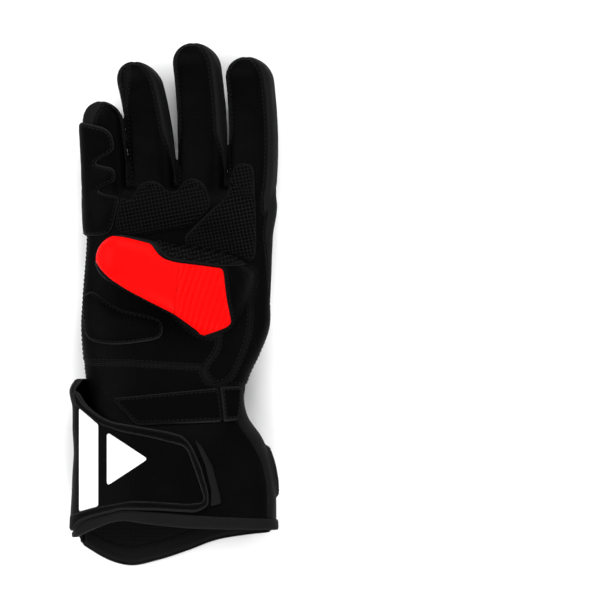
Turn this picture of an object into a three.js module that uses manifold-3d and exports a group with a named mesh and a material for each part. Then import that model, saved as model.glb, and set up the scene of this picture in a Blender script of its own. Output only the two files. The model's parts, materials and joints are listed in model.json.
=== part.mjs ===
// A motorcycle racing glove for the right hand, lying on its back with the thumb folded over the palm.
// Units are millimetres. +Z is up and out of the palm, +Y points along the fingers, +X is the thumb's side.
// The origin is on the surface that the glove lies on, under the middle of its box.

import * as THREE from "three";
import { mergeVertices } from "three/addons/utils/BufferGeometryUtils.js";
import Module from "manifold-3d";

const wasm = await Module();
wasm.setup();

// Driving dimensions
const LEATHER = 2.0; // wall of the hand and the cuff
const FINGER_LEATHER = 1.6; // wall of the fingers and the thumb
const GAP = 0.3; // between pieces that are sewn together
const PATCH = 1.3; // sheet sewn on top of the leather
const STRAP = 1.9; // webbing and thick patches
const FLAP = 2.0; // wall of the closing flap
const LINING = 1.0; // lining inside the cuff
const BINDING = 0.9; // bindings round the hem and the flap
const INLAY = 0.6; // white leather shapes on the flap
const KEEPER_THICK = 2.4; // keeper that holds the strap's end
const CUFF_PAD = 2.6; // how far the cuff's guard stands off the wall
const TIP_RADIUS = 14; // rounding of a fingertip, along the finger
const KNUCKLE_Y = 60; // where the middle lines of the fingers start
const MIDDLE_Y = 100; // second point of those lines
const WEB = { top: 82, bottom: 61, low: 7.5, high: 19.5, clear: 3 }; // web between two fingers
const SIDE_SHARE = 0.8; // share of a finger's half depth that its side strip covers
const STRIP_END = { from: 71, to: 99, share: -0.35 }; // how its upper edge drops towards the web, along y
const INNER_SHARES = [0.1, SIDE_SHARE, SIDE_SHARE]; // the share at the right of the first three fingers
const TIP_SLOT = 0.1; // half width of the slot between the two strips of a fingertip, as a share
const SIDE_SEAM_Z = 17; // height of the side seams of hand and wrist
const CUFF_SEAM_Z = 14; // height of the side seams of the cuff
const CUFF_SIDE_Z = 22; // below this height the whole thumb side of the cuff is the grey panel
const SIDE_INNER = { left: -46, right: 49 }; // how far in the grey side panels of the hand reach
const SIDE_SEAM = { left: -30, leftEnd: 42, right: 30, rightEnd: 0, bottom: -80 }; // slits of those seams
const HEEL_Z = 19; // the heel patch lies above this
const LITTLE_TIP_Z = 22; // the little finger's outer side comes over its tip above this
const GUARD_Z = 9; // the little finger's guard reaches down to this
const KEEPER_Z = 20; // and the keeper to this
const THUMB_PANEL_Z = 20; // the thumb's panel in the palm lies above this
const THUMB_BACK_Z = 30; // the red leather lies above this
const THUMB_GRIP_Z = 34; // and the thumb's grip patch above this
const LINING_Y = -96; // the lining is sewn in from here to the hems
const FACING = 9; // width of the grey facing inside the far hem
const CUFF_SIDE_X = 30; // the low part of the grey cuff panel starts here
const FAR = 190; // beyond the glove on every side
const TOP = 120; // above everything
const UNDER = -10; // below everything
const STRIP_SPARE = 0.5; // how far a side strip's zone reaches beyond the finger
const SLIVER = 0.02; // overlap that leaves no thin skin behind a cut
const SHARPEST = 0.35; // a sharper corner of an outline than this isn't carried further out
const BEYOND_TIP = 4; // how far a slab runs past the last section
const TIP_ANGLES = [90, 55, 22]; // where a fingertip's rounding has its sections
const THUMB_SHARES = [0, 0.12, 0.26, 0.44, 0.67]; // sections of the thumb below its tip
const RIBS = { pitch: 3.5, height: 1.1, start: 0.2, end: 0.58 }; // start and end are shares of the thumb
// Zones of the thumb as shares of its section: its back, and the strip at the side of its tip
const THUMB_BACK_ZONE = { low: 0.1, high: 4, from: -1, to: 1, spare: 9 };
const THUMB_SIDE_ZONE = { low: -0.4, high: 4, from: 0.04, to: 1.3, spare: 0 };
// Points round each section, outside and inside
const TRUNK_SIDES = { outer: 22, inner: 14 };
const FINGER_SIDES = { outer: 12, inner: 8 };
const THUMB_SIDES = { outer: 14, inner: 8 };

// Names the columns of a short table.
function table(columns, rows) {
  return rows.map((row) => Object.fromEntries(columns.map((name, k) => [name, row[k]])));
}

// Hand, wrist and cuff in one run, from the web of the fingers to beyond the hem
const TRUNK = table(
  ["y", "left", "right", "top", "bottom", "square"],
  [
    [71.5, -49.8, 55.6, 20, 9, 2.6],
    [69.5, -51.8, 58.6, 24, 4.5, 2.6],
    [65, -52.8, 60.4, 27.5, 0.5, 2.7],
    [40, -52.8, 58.8, 30, -1.6, 2.8],
    [2, -55.4, 57.2, 33, -1.8, 2.6],
    [-15, -56.2, 56.4, 36, -1.6, 2.5],
    [-30, -55.2, 50.8, 38, -1.2, 2.4],
    [-44, -53.4, 44.4, 39.5, -0.6, 2.3],
    [-57, -51.4, 41.4, 41, 0.6, 2.25],
    [-67, -52, 43.6, 43, 0, 2.25],
    [-80, -56, 52.2, 47, -1, 2.25],
    [-104, -59.2, 59.4, 51, -2, 2.3],
    [-132, -60.6, 60.9, 55, -2.6, 2.35],
    [-160, -61.2, 61.4, 57.5, -2.8, 2.4],
  ],
);

// The fingers: where the middle line runs, and half the size of the section
const FINGERS = table(
  ["name", "baseX", "middleX", "tipX", "tipY", "halfWidth", "halfDepth"],
  [
    ["little", -40.4, -42.2, -44.4, 121.8, 12.6, 9.8],
    ["ring", -13.5, -14.9, -24.5, 145.6, 13.9, 10.4],
    ["middle", 15, 16.5, 11.1, 156.8, 14.7, 10.6],
    ["index", 44.8, 47.2, 42.9, 148.4, 14.6, 10.6],
  ],
);
const FINGER = {
  baseZ: 15, lift: 12, square: 3.3, roll: 18, startY: 48, fullY: 74, startShare: 0.76, taper: 0.05,
};

// The thumb, from inside the hand to its tip above the palm
const THUMB = table(
  ["x", "y", "z", "halfWidth", "halfDepth"],
  [
    [46, -5, 16, 15, 6],
    [38, -2, 24, 23.5, 13],
    [24, 5, 34.5, 24.6, 13.5],
    [8, 11.8, 42, 21.4, 12.6],
    [-8, 17.2, 45.5, 18.4, 11.8],
    [-22, 22.8, 46.3, 16.8, 11.4],
    [-34, 26.6, 46.3, 15.2, 11.2],
    [-47.8, 28.8, 46, 14, 11],
  ],
);
const THUMB_SQUARE = 2.7;

// The closing flap's own form, which stands clear of the wrist at its upper end
const FLAP_FORM = table(
  ["y", "left", "right", "top", "bottom", "square"],
  [
    [-40, -55, 48, 45, 0, 2.3],
    [-50, -63, 48, 46, 0, 2.3],
    [-62, -61.6, 50, 47.5, -1, 2.3],
    [-75, -61.4, 54, 49.4, -2, 2.3],
    [-88, -60.8, 58, 51.4, -3, 2.3],
    [-104, -61.6, 61.8, 53.4, -4.4, 2.3],
    [-132, -63, 63.3, 57.4, -5, 2.35],
    [-140, -63.2, 63.4, 58, -5, 2.35],
  ],
);

// Outlines seen from above, x and y
const THUMB_SEAM = [
  [41.5, 24], [43.4, 16], [45.4, -6], [44.6, -16], [42.4, -24.6], [38.6, -34], [34.5, -43],
  [29.5, -47.2], [24.5, -48.2], [20.5, -45], [17, -39.2], [22.8, -31.2], [26, -26], [27, -15], [24, 0],
  [28, 20],
];
const THUMB_BACK = [
  [-47.6, 24.6], [-50.5, 30], [-48, 38], [-43.5, 42.5], [-37.2, 41.3], [-31, 40.8], [-23.1, 38.9],
  [-14.3, 36.5], [-12.5, 33.8], [-10.4, 30.6], [-7.2, 27.6], [-0.2, 25.2], [15, 23.4], [29.1, 21.5],
  [31.2, 3.8], [34.1, -10.7], [33.2, -12.9], [30.6, -14.6], [24, -17.2], [16.6, -19.6], [15, -18.9],
  [13.1, -16.5], [-0.2, -6.8], [-16, 1.2], [-29.3, 8.2], [-38.5, 14.2], [-44.3, 19.6],
];
const THUMB_GRIP = [
  [-12.2, 37.6], [0, 39], [19, 35.5], [44, 30.5], [47, 26], [43.5, 23.2], [29.8, 22.4], [15, 24.2],
  [0, 26.1], [-6.3, 28.4], [-10.8, 33.6],
];
const GRIP_FINGERS = [
  [-36.6, 45], [-32.2, 64], [-27.4, 61.4], [-24.2, 65], [-21.5, 71.5], [-15, 74.2],
  [-8.5, 72.6], [-5.3, 67.2], [1.2, 66.7], [5.5, 73.7], [10.9, 75.8], [17.4, 72.6], [19.6, 67.2],
  [21.7, 60.7], [19.6, 56.3], [10.5, 46.9], [-18.2, 41.8], [-27, 41.6],
];
const GRIP_INDEX = [
  [35.2, 81.2], [39, 84.5], [45.5, 83.9], [47.6, 80.7], [48.5, 29.4], [45.5, 25.6],
  [36, 22], [10, 30], [4.4, 39.1], [11.3, 46.2], [31.4, 64], [33, 72.6],
];
const HEEL = [
  [-54.4, -4.8], [-54.4, 3.4], [-53, 6.2], [-49.8, 7.7], [-46, 5.8], [-40.2, 1], [-34.4, -2.7],
  [-19.1, -6.5], [-11.4, -8.4], [-8, -10.8], [-7.1, -14.4], [-8, -19.2], [-11.4, -21.4],
  [-21, -23], [-40.2, -24.3], [-48.8, -22.6], [-52.2, -20.2], [-53.8, -16.3],
];
const GUARD = [
  [-70, 109.2], [-56, 109.2], [-49.6, 107.7], [-42.6, 106.1], [-38.2, 102.8], [-36.8, 97.4], [-36.6, 92],
  [-48.5, 84.5], [-36, 81.5], [-35.5, 73.7], [-46.8, 68.3], [-33.4, 64.2], [-34, 59.6], [-37.2, 46.8],
  [-40.2, 41.4], [-53.4, 40.8], [-70, 40.8],
];
// The little finger's outer side panel comes over its tip as far as this
const LITTLE_TIP = [[-62, 103], [-49.4, 103], [-48.8, 112.8], [-44, 119.2], [-44, 128], [-62, 128]];
const ACCORDION = [[4.2, 40], [-3, -30], [60, -30], [60, 40]];
const THUMB_SIDE = [[-60, 27], [-9, 27], [-9, 60], [-60, 60]];
const STRAP_OUTLINE = [[-37.6, -56.8], [26.2, -50.4], [28.4, -70.8], [-23, -73]];
const KEEPER = [[26.9, -50.2], [38.4, -49.4], [37.4, -69.8], [29.1, -70.7]];
const WRIST_LINE = [
  [-80, -34.4], [-27, -35.4], [-3, -36.8], [15, -37.8], [19.5, -47], [32, -49], [80, -50],
];
const BACK_WRIST_Y = -46;
const FLAP_EDGE = [
  [-80, -52], [-59.4, -52], [-54.6, -60.2], [-45, -67.4], [-37.3, -70.8], [-22.9, -73.2],
  [4.8, -79], [9.6, -84.2], [15.6, -97.2], [20, -112.6], [20.3, -121.2], [12.6, -125],
  [-11.4, -123.6], [-32.5, -123.2], [-51.4, -128], [-58.6, -131.2], [-60.6, -136],
  [-80, -136],
];
const FLAP_FIELD = [
  [-66, -55], [-58, -61.8], [-45.5, -72.2], [-32.5, -76.6], [-11.4, -80.9], [4.9, -85.2], [7.8, -88.6],
  [12.6, -102], [17.4, -116.4], [16.4, -119.2], [7.8, -120.2], [-11.4, -118.8], [-25.8, -118.3],
  [-46, -121.9], [-58.5, -125.5], [-66, -127.7],
];
const FLAP_SIDE = { top: -44.5, bottom: -136, x: -42, low: 6.5, high: 30 };
const TAB = [[11.4, -80.9], [16.2, -85.7], [22.2, -97.2], [27, -115.4], [27.5, -119.8], [21.2, -121.4],
  [21.6, -112.4], [18, -96.8]];
const STRIPE = [[-58.2, -62.4], [-46, -72.4], [-46, -121.4], [-58.2, -124.8]];
const TRIANGLE = [[-40.8, -76.8], [-40.8, -109.2], [-16.2, -93]];
const NEAR_HEM = [
  [-80, -140.4], [-61.5, -140.2], [-58, -139], [-54.6, -137.4], [-33.5, -130.2], [-15.2, -132.2],
  [10.7, -134.6], [31.8, -135.1], [80, -135.6],
];
const NEAR_HEM_BAND = [
  [-80, -137.2], [-61.6, -136.9], [-59.6, -132], [-51.4, -129], [-33.6, -124.5],
  [-15.2, -125], [17.4, -127.4], [55.8, -129], [80, -129.4],
];
const FAR_HEM = [
  [-80, -135.6], [-62.4, -137], [-58.2, -141.6], [-49.8, -147.6], [-39, -153.6], [-27, -156.6],
  [-10.8, -153.6], [7.8, -147.6], [24, -141.6], [42, -138.4], [80, -135.6],
];
const CUFF_SIDE = [
  [38.6, -40], [38.6, -70], [42.3, -75.6], [46.7, -81.6], [53.1, -93.6], [56.2, -105.6],
  [56.8, -117.6], [56.8, -150], [90, -150], [90, -40],
];
// Outlines of the side pieces, y and z
const SIDE_RIGHT = [
  [80, 25], [66, 24.4], [40, 23.2], [18, 21.2], [2, 17.4], [-8, 17], [10, 13], [40, 9], [66, 8], [80, 10],
];
const SIDE_LEFT = [[80, 20], [66, 19.5], [50, 18.6], [38, 17], [50, 8], [66, 6], [80, 5]];
const CUFF_GUARD = [
  [-84, 20], [-88, 25], [-98, 28], [-110, 27], [-117, 21], [-117, 10], [-110, 5], [-94, 5], [-86, 10],
];
const SMALLEST = 1e-3; // two corners that are nearer than this become one

// Turns a closed geometry into a solid.
function solid(geometry) {
  geometry.deleteAttribute("normal");
  geometry.deleteAttribute("uv");
  const merged = mergeVertices(geometry, SMALLEST);
  const corners = merged.index.array;
  const triVerts = [];
  for (let k = 0; k < corners.length; k += 3) {
    const [a, b, c] = [corners[k], corners[k + 1], corners[k + 2]];
    if (a !== b && b !== c && c !== a) triVerts.push(a, b, c);
  }
  const vertProperties = merged.attributes.position.array;
  const make = (order) =>
    new wasm.Manifold(new wasm.Mesh({ numProp: 3, vertProperties, triVerts: new Uint32Array(order) }));
  const made = make(triVerts);
  return made.volume() < 0 ? make(triVerts.reverse()) : made;
}

function geometryOf(body) {
  const mesh = body.getMesh();
  const geometry = new THREE.BufferGeometry();
  geometry.setAttribute("position", new THREE.BufferAttribute(mesh.vertProperties, 3));
  geometry.setIndex(new THREE.BufferAttribute(mesh.triVerts, 1));
  return geometry;
}

const join = (...bodies) => bodies.flat().reduce((all, body) => all.add(body));
const cut = (body, cutters) => cutters.flat().reduce((left, cutter) => left.subtract(cutter), body);

// A prism whose outline lies in the XY plane.
function prism(outline, low, high) {
  const shape = new THREE.Shape(outline.map(([x, y]) => new THREE.Vector2(x, y)));
  const geometry = new THREE.ExtrudeGeometry(shape, { depth: high - low, bevelEnabled: false });
  return solid(geometry.translate(0, 0, low));
}

// A prism along X whose outline lists y and z.
function sidePrism(outline, low, high) {
  const shape = new THREE.Shape(outline.map(([y, z]) => new THREE.Vector2(y, z)));
  const geometry = new THREE.ExtrudeGeometry(shape, { depth: high - low, bevelEnabled: false });
  const axes = new THREE.Matrix4().set(0, 0, 1, low, 1, 0, 0, 0, 0, 1, 0, 0, 0, 0, 0, 1);
  return solid(geometry.applyMatrix4(axes));
}

function box(x0, x1, y0, y1, z0, z1) {
  const geometry = new THREE.BoxGeometry(x1 - x0, y1 - y0, z1 - z0);
  return solid(geometry.translate((x0 + x1) / 2, (y0 + y1) / 2, (z0 + z1) / 2));
}

// Moves each side of an outline outwards by the same amount.
function swell(outline, by) {
  const area = outline.reduce((sum, [x, y], k) => {
    const [nextX, nextY] = outline[(k + 1) % outline.length];
    return sum + x * nextY - nextX * y;
  }, 0);
  const out = area > 0 ? by : -by;
  return outline.map(([x, y], k) => {
    const [px, py] = outline[(k + outline.length - 1) % outline.length];
    const [nx, ny] = outline[(k + 1) % outline.length];
    const before = new THREE.Vector2(y - py, px - x).normalize();
    const after = new THREE.Vector2(ny - y, x - nx).normalize();
    const mean = before.clone().add(after);
    const reach = out / Math.max(SHARPEST, mean.lengthSq() / 2);
    return [x + mean.x * reach, y + mean.y * reach];
  });
}

// Everything between a line that runs in +X and the given y.
const upTo = (line, y) => [...line, [line.at(-1)[0], y], [line[0][0], y]];
const moved = (line, dx, dy) => line.map(([x, y]) => [x + dx, y + dy]);

// One ring of points round a section: a rounded box, rolled about the middle line.
function ring(section, sides) {
  const { at, across, halfWidth, halfDepth, square, roll, floor } = section;
  const points = [];
  for (let k = 0; k < sides; k++) {
    const turn = (2 * Math.PI * (k + 0.5)) / sides;
    const bulge = (value) => Math.sign(value) * Math.abs(value) ** (2 / square);
    const u = halfWidth * bulge(Math.cos(turn));
    const v = halfDepth * bulge(Math.sin(turn));
    const side = u * Math.cos(roll) - v * Math.sin(roll);
    const up = u * Math.sin(roll) + v * Math.cos(roll);
    points.push([at.x + across.x * side, at.y + across.y * side, Math.max(at.z + up, floor)]);
  }
  return points;
}

// A closed body through a row of rings that have the same number of points.
function loft(rings) {
  const sides = rings[0].length;
  const position = rings.flat();
  const index = [];
  for (let j = 0; j + 1 < rings.length; j++) {
    for (let k = 0; k < sides; k++) {
      const a = j * sides + k;
      const b = j * sides + ((k + 1) % sides);
      index.push(a, b, b + sides, a, b + sides, a + sides);
    }
  }
  for (const [j, flip] of [[0, true], [rings.length - 1, false]]) {
    const centre = [0, 1, 2].map((axis) => rings[j].reduce((sum, p) => sum + p[axis], 0) / sides);
    const middle = position.push(centre) - 1;
    for (let k = 0; k < sides; k++) {
      const a = j * sides + k;
      const b = j * sides + ((k + 1) % sides);
      index.push(...(flip ? [middle, b, a] : [middle, a, b]));
    }
  }
  const geometry = new THREE.BufferGeometry();
  geometry.setAttribute("position", new THREE.Float32BufferAttribute(position.flat(), 3));
  geometry.setIndex(index);
  return solid(geometry);
}

// Hand, wrist and cuff, grown outwards by so much. Grown inwards, it also runs on at the hem.
function trunk(grow, rows = TRUNK, sides = TRUNK_SIDES.outer) {
  const last = rows.length - 1;
  return loft(
    rows.map((row, k) => {
      const shift = k === 0 ? grow : k === last && grow < 0 ? 2 * grow : 0;
      return ring(
        {
          at: new THREE.Vector3((row.left + row.right) / 2, row.y + shift, (row.top + row.bottom) / 2),
          across: new THREE.Vector2(1, 0),
          halfWidth: (row.right - row.left) / 2 + grow,
          halfDepth: (row.top - row.bottom) / 2 + grow,
          square: row.square,
          roll: 0,
          floor: -grow,
        },
        sides,
      );
    }),
  );
}

// Where a finger's middle line is, and how big the finger is there
function fingerSection(row, y, grow) {
  const quadratic = (t) => {
    const first = ((t - MIDDLE_Y) * (t - row.tipY)) / ((KNUCKLE_Y - MIDDLE_Y) * (KNUCKLE_Y - row.tipY));
    const second = ((t - KNUCKLE_Y) * (t - row.tipY)) / ((MIDDLE_Y - KNUCKLE_Y) * (MIDDLE_Y - row.tipY));
    const third = ((t - KNUCKLE_Y) * (t - MIDDLE_Y)) / ((row.tipY - KNUCKLE_Y) * (row.tipY - MIDDLE_Y));
    return row.baseX * first + row.middleX * second + row.tipX * third;
  };
  const along = Math.max(0, (y - KNUCKLE_Y) / (row.tipY - KNUCKLE_Y));
  const risen = THREE.MathUtils.smoothstep(y, FINGER.startY, FINGER.fullY);
  const growing = THREE.MathUtils.lerp(FINGER.startShare, 1, risen);
  const left = Math.max(0, row.tipY - y);
  const rounding = left < TIP_RADIUS ? Math.sqrt(1 - (1 - left / TIP_RADIUS) ** 2) : 1;
  const taper = (1 - FINGER.taper * along) * growing * rounding;
  return {
    at: new THREE.Vector3(quadratic(y), y + grow * (1 - rounding), FINGER.baseZ + FINGER.lift * along ** 2),
    across: new THREE.Vector2(1, 0),
    halfWidth: row.halfWidth * taper + grow,
    halfDepth: row.halfDepth * taper + grow,
    square: FINGER.square,
    roll: THREE.MathUtils.degToRad(FINGER.roll),
    floor: -grow,
  };
}

const tipSteps = TIP_ANGLES.map((angle) => TIP_RADIUS * (1 - Math.cos(THREE.MathUtils.degToRad(angle))));

function fingerSections(row, grow) {
  const straight = row.tipY - TIP_RADIUS;
  const middle = (FINGER.fullY + straight) / 2;
  const tip = tipSteps.map((left) => row.tipY - left);
  const stations = [FINGER.startY, KNUCKLE_Y, FINGER.fullY, middle, ...tip];
  return stations.map((y) => fingerSection(row, y, grow));
}

// The thumb's sections, at the given shares of its middle line
const thumbLine = new THREE.CatmullRomCurve3(THUMB.map(({ x, y, z }) => new THREE.Vector3(x, y, z)));
const thumbLength = thumbLine.getLength();
const STEPS = 20; // between two rows of the table
const thumbRuns = thumbLine.getLengths((THUMB.length - 1) * STEPS);
const thumbRows = THUMB.map((row, k) => thumbRuns[k * STEPS] / thumbLength);

function thumbSection(share, grow, ripple = 0) {
  const at = thumbLine.getPointAt(share);
  const heading = thumbLine.getTangentAt(share);
  const k = Math.min(THUMB.length - 2, Math.max(0, thumbRows.findLastIndex((value) => value <= share)));
  const part = (share - thumbRows[k]) / (thumbRows[k + 1] - thumbRows[k]);
  const size = (name) => THREE.MathUtils.lerp(THUMB[k][name], THUMB[k + 1][name], part);
  const left = (1 - share) * thumbLength;
  const rounding = left < TIP_RADIUS ? Math.sqrt(1 - (1 - left / TIP_RADIUS) ** 2) : 1;
  const flat = new THREE.Vector2(heading.x, heading.y).normalize();
  at.x += flat.x * grow * (1 - rounding);
  at.y += flat.y * grow * (1 - rounding);
  return {
    at,
    across: new THREE.Vector2(flat.y, -flat.x),
    halfWidth: size("halfWidth") * rounding + grow,
    halfDepth: size("halfDepth") * rounding + grow + ripple,
    square: THUMB_SQUARE,
    roll: 0,
    floor: -grow,
  };
}

const thumbStations = [...THUMB_SHARES, ...tipSteps.map((left) => 1 - left / thumbLength)];
const thumbSections = (grow) => thumbStations.map((share) => thumbSection(share, grow));

// The run of the thumb whose outside is folded into ribs
function ribbedSections(grow) {
  const first = RIBS.start * thumbLength;
  const steps = Math.round(((RIBS.end - RIBS.start) * thumbLength) / (RIBS.pitch / 2));
  const sections = [];
  for (let k = 0; k <= steps; k++) {
    const share = (first + (k * RIBS.pitch) / 2) / thumbLength;
    sections.push(thumbSection(share, grow, k % 2 ? RIBS.height : 0));
  }
  return sections;
}

const tube = (sections, sides) => loft(sections.map((section) => ring(section, sides)));

// A slab along a tube: between two heights and two widths, as shares of its section. The upper height may
// be a function of the section.
function slab(sections, { low, high, from, to, spare, pad = 0 }) {
  const corner = (section, u, v, ahead) => {
    const side = u * Math.cos(section.roll) - v * Math.sin(section.roll);
    const up = u * Math.sin(section.roll) + v * Math.cos(section.roll);
    const { at, across } = section;
    return [
      at.x + across.x * side - across.y * ahead,
      at.y + across.y * side + across.x * ahead,
      at.z + up,
    ];
  };
  const rectangle = (section, ahead) => {
    const reach = (share) => share * section.halfWidth + Math.sign(share) * spare;
    const highShare = high instanceof Function ? high(section) : high;
    const lowV = low * section.halfDepth - pad;
    const highV = highShare * section.halfDepth + pad;
    const [u0, u1] = [from === 0 ? GAP / 2 : reach(from), to === 0 ? -GAP / 2 : reach(to)];
    return [
      corner(section, u0, lowV, ahead),
      corner(section, u1, lowV, ahead),
      corner(section, u1, highV, ahead),
      corner(section, u0, highV, ahead),
    ];
  };
  const rings = sections.map((section) => rectangle(section, 0));
  rings.push(rectangle(sections.at(-1), BEYOND_TIP));
  return loft(rings);
}

const fingers = (grow, sides = FINGER_SIDES.outer) =>
  FINGERS.map((row) => tube(fingerSections(row, grow), sides));
const thumb = (grow, sides = THUMB_SIDES.outer) => tube(thumbSections(grow), sides);

// The whole skin: outside less inside, cut at the hems
const outside = join(trunk(0), fingers(0), thumb(0));
const inside = join(
  trunk(-LEATHER, TRUNK, TRUNK_SIDES.inner),
  fingers(-FINGER_LEATHER, FINGER_SIDES.inner),
  thumb(-FINGER_LEATHER, THUMB_SIDES.inner),
);
const beyondNearHem = (dy, low) => prism(upTo(moved(NEAR_HEM, 0, dy), -FAR), low, TOP);
const beyondFarHem = (dy) => prism(upTo(moved(FAR_HEM, 0, dy), -FAR), UNDER, TOP);
const skin = cut(outside, [inside, beyondNearHem(0, CUFF_SEAM_Z), beyondFarHem(0)]);

// Hand and cuff part at the wrist seam
const handZone = (drop) =>
  join(
    prism(upTo(moved(WRIST_LINE, 0, -drop), FAR), SIDE_SEAM_Z, TOP),
    box(-FAR, FAR, BACK_WRIST_Y - drop, FAR, UNDER, SIDE_SEAM_Z),
  );
const hand = skin.intersect(handZone(0));
const cuff = skin.subtract(handZone(GAP));

// The side strips of the fingers, each pair in one piece with the web between them. Beside a web the strip
// narrows to a point.
const outerStrip = (row, from, to, by, high = SIDE_SHARE) => {
  const across = { from, to, spare: STRIP_SPARE + by };
  return slab(fingerSections(row, 0), { low: -SIDE_SHARE, high, pad: by, ...across });
};
const pointed = (share) => ({ at }) => {
  const part = THREE.MathUtils.clamp((at.y - STRIP_END.from) / (STRIP_END.to - STRIP_END.from), 0, 1);
  return THREE.MathUtils.lerp(STRIP_END.share, share, part);
};
const webStrip = (row, from, to, by, share) => outerStrip(row, from, to, by, pointed(share));
const web = (k, by) => {
  const [a, b] = [FINGERS[k], FINGERS[k + 1]];
  const [x0, x1] = [a.baseX + WEB.clear - by, b.baseX - WEB.clear + by];
  return box(x0, x1, WEB.bottom - by, WEB.top, WEB.low - by, WEB.high + by);
};
const sidePieces = [
  [
    "side_panel_little",
    (by) => [
      outerStrip(FINGERS[0], -1, 0, by),
      prism(swell(LITTLE_TIP, by), LITTLE_TIP_Z, TOP),
      sidePrism(swell(SIDE_LEFT, by), -FAR, SIDE_INNER.left),
    ],
  ],
  ...[0, 1, 2].map((k) => [
    ["fourchette_little_ring", "fourchette_ring_middle", "fourchette_middle_index"][k],
    (by) => [
      webStrip(FINGERS[k], 0, 1, by, INNER_SHARES[k]),
      webStrip(FINGERS[k + 1], -1, 0, by, SIDE_SHARE),
      web(k, by),
    ],
  ]),
  [
    "side_panel_index",
    (by) => [outerStrip(FINGERS[3], 0, 1, by), sidePrism(swell(SIDE_RIGHT, by), SIDE_INNER.right, FAR)],
  ],
];

// A cut can leave a crumb beside the piece, which is dropped.
const byVolume = (a, b) => b.volume() - a.volume();
const largest = (body) => body.decompose().sort(byVolume)[0];

// The thumb with the panel at its root comes off the hand first
const thumbRoot = (by) => join(prism(swell(THUMB_SEAM, by), THUMB_PANEL_Z, TOP), thumb(by + SLIVER));
const thumbAll = hand.intersect(thumbRoot(0));
const handRest = hand.subtract(thumbRoot(GAP));

const pieces = {};
const sides = [];
for (const [name, cutters] of sidePieces) {
  pieces[name] = largest(cut(handRest, sides).intersect(join(cutters(0))));
  sides.push(join(cutters(GAP)));
}
const slot = { low: -SIDE_SHARE, high: SIDE_SHARE, from: -TIP_SLOT, to: TIP_SLOT, spare: 0, pad: GAP };
const tipSlots = FINGERS.map((row) => slab(fingerSections(row, 0), slot));
const slit = [SIDE_SEAM_Z - GAP / 2, SIDE_SEAM_Z + GAP / 2];
const seamSlits = [
  box(-FAR, SIDE_SEAM.left, SIDE_SEAM.bottom, SIDE_SEAM.leftEnd, ...slit),
  box(SIDE_SEAM.right, FAR, SIDE_SEAM.bottom, SIDE_SEAM.rightEnd, ...slit),
];
const byHeight = (a, b) => b.boundingBox().max[2] - a.boundingBox().max[2];
const panels = cut(handRest, [sides, tipSlots, seamSlits]).decompose().sort(byVolume);
[pieces.palm_trank, pieces.back_trank] = panels.slice(0, 2).sort(byHeight);

// The thumb's own pieces
const thumbTop = slab(thumbSections(0), THUMB_BACK_ZONE);
const red = (by) => prism(swell(THUMB_BACK, by), THUMB_BACK_Z, TOP).intersect(thumbTop);
const accordionZone = (dx) => prism(moved(ACCORDION, dx, 0), 0, TOP);
const thumbHollow = thumb(-FINGER_LEATHER, THUMB_SIDES.inner);
const ribbed = tube(ribbedSections(0), THUMB_SIDES.outer).subtract(thumbHollow);
pieces.thumb_back = thumbAll.intersect(red(0)).subtract(accordionZone(0));
pieces.thumb_accordion = ribbed.intersect(red(0)).intersect(accordionZone(GAP)).subtract(trunk(GAP));
const thumbSideZone = (by) => {
  const share = by / THUMB.at(-1).halfWidth;
  const { from, to } = THUMB_SIDE_ZONE;
  const zone = slab(thumbSections(0), { ...THUMB_SIDE_ZONE, from: from - share, to: to + share, pad: by });
  return zone.intersect(prism(swell(THUMB_SIDE, by), 0, TOP));
};
pieces.thumb_side = thumbAll.intersect(thumbSideZone(0)).subtract(red(GAP));
pieces.thumb_palm = cut(thumbAll, [red(GAP), thumbSideZone(GAP)]);

// Patches sewn on the leather
const hull = (grow) => join(trunk(grow), fingers(grow));
const coat = (thick) => hull(GAP + thick).subtract(hull(GAP));
const patchCoat = coat(PATCH);
const thumbClear = thumb(GAP + PATCH + GAP);
pieces.grip_patch_fingers = patchCoat.intersect(prism(GRIP_FINGERS, SIDE_SEAM_Z, TOP)).subtract(thumbClear);
pieces.grip_patch_index = patchCoat.intersect(prism(GRIP_INDEX, SIDE_SEAM_Z, TOP)).subtract(thumbClear);
pieces.heel_patch = patchCoat.intersect(prism(HEEL, HEEL_Z, TOP)).subtract(thumbClear);
pieces.little_finger_guard = coat(STRAP).intersect(prism(GUARD, GUARD_Z, TOP));
pieces.grip_patch_thumb = thumb(GAP + PATCH)
  .subtract(thumb(GAP))
  .intersect(prism(THUMB_GRIP, THUMB_GRIP_Z, TOP))
  .subtract(trunk(GAP));

// Strap and keeper at the wrist
const onTrunk = (thick) => trunk(GAP + thick).subtract(trunk(GAP));
pieces.wrist_strap = onTrunk(STRAP).intersect(prism(STRAP_OUTLINE, SIDE_SEAM_Z, TOP));
pieces.strap_keeper = onTrunk(KEEPER_THICK).intersect(prism(KEEPER, KEEPER_Z, TOP));

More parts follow.
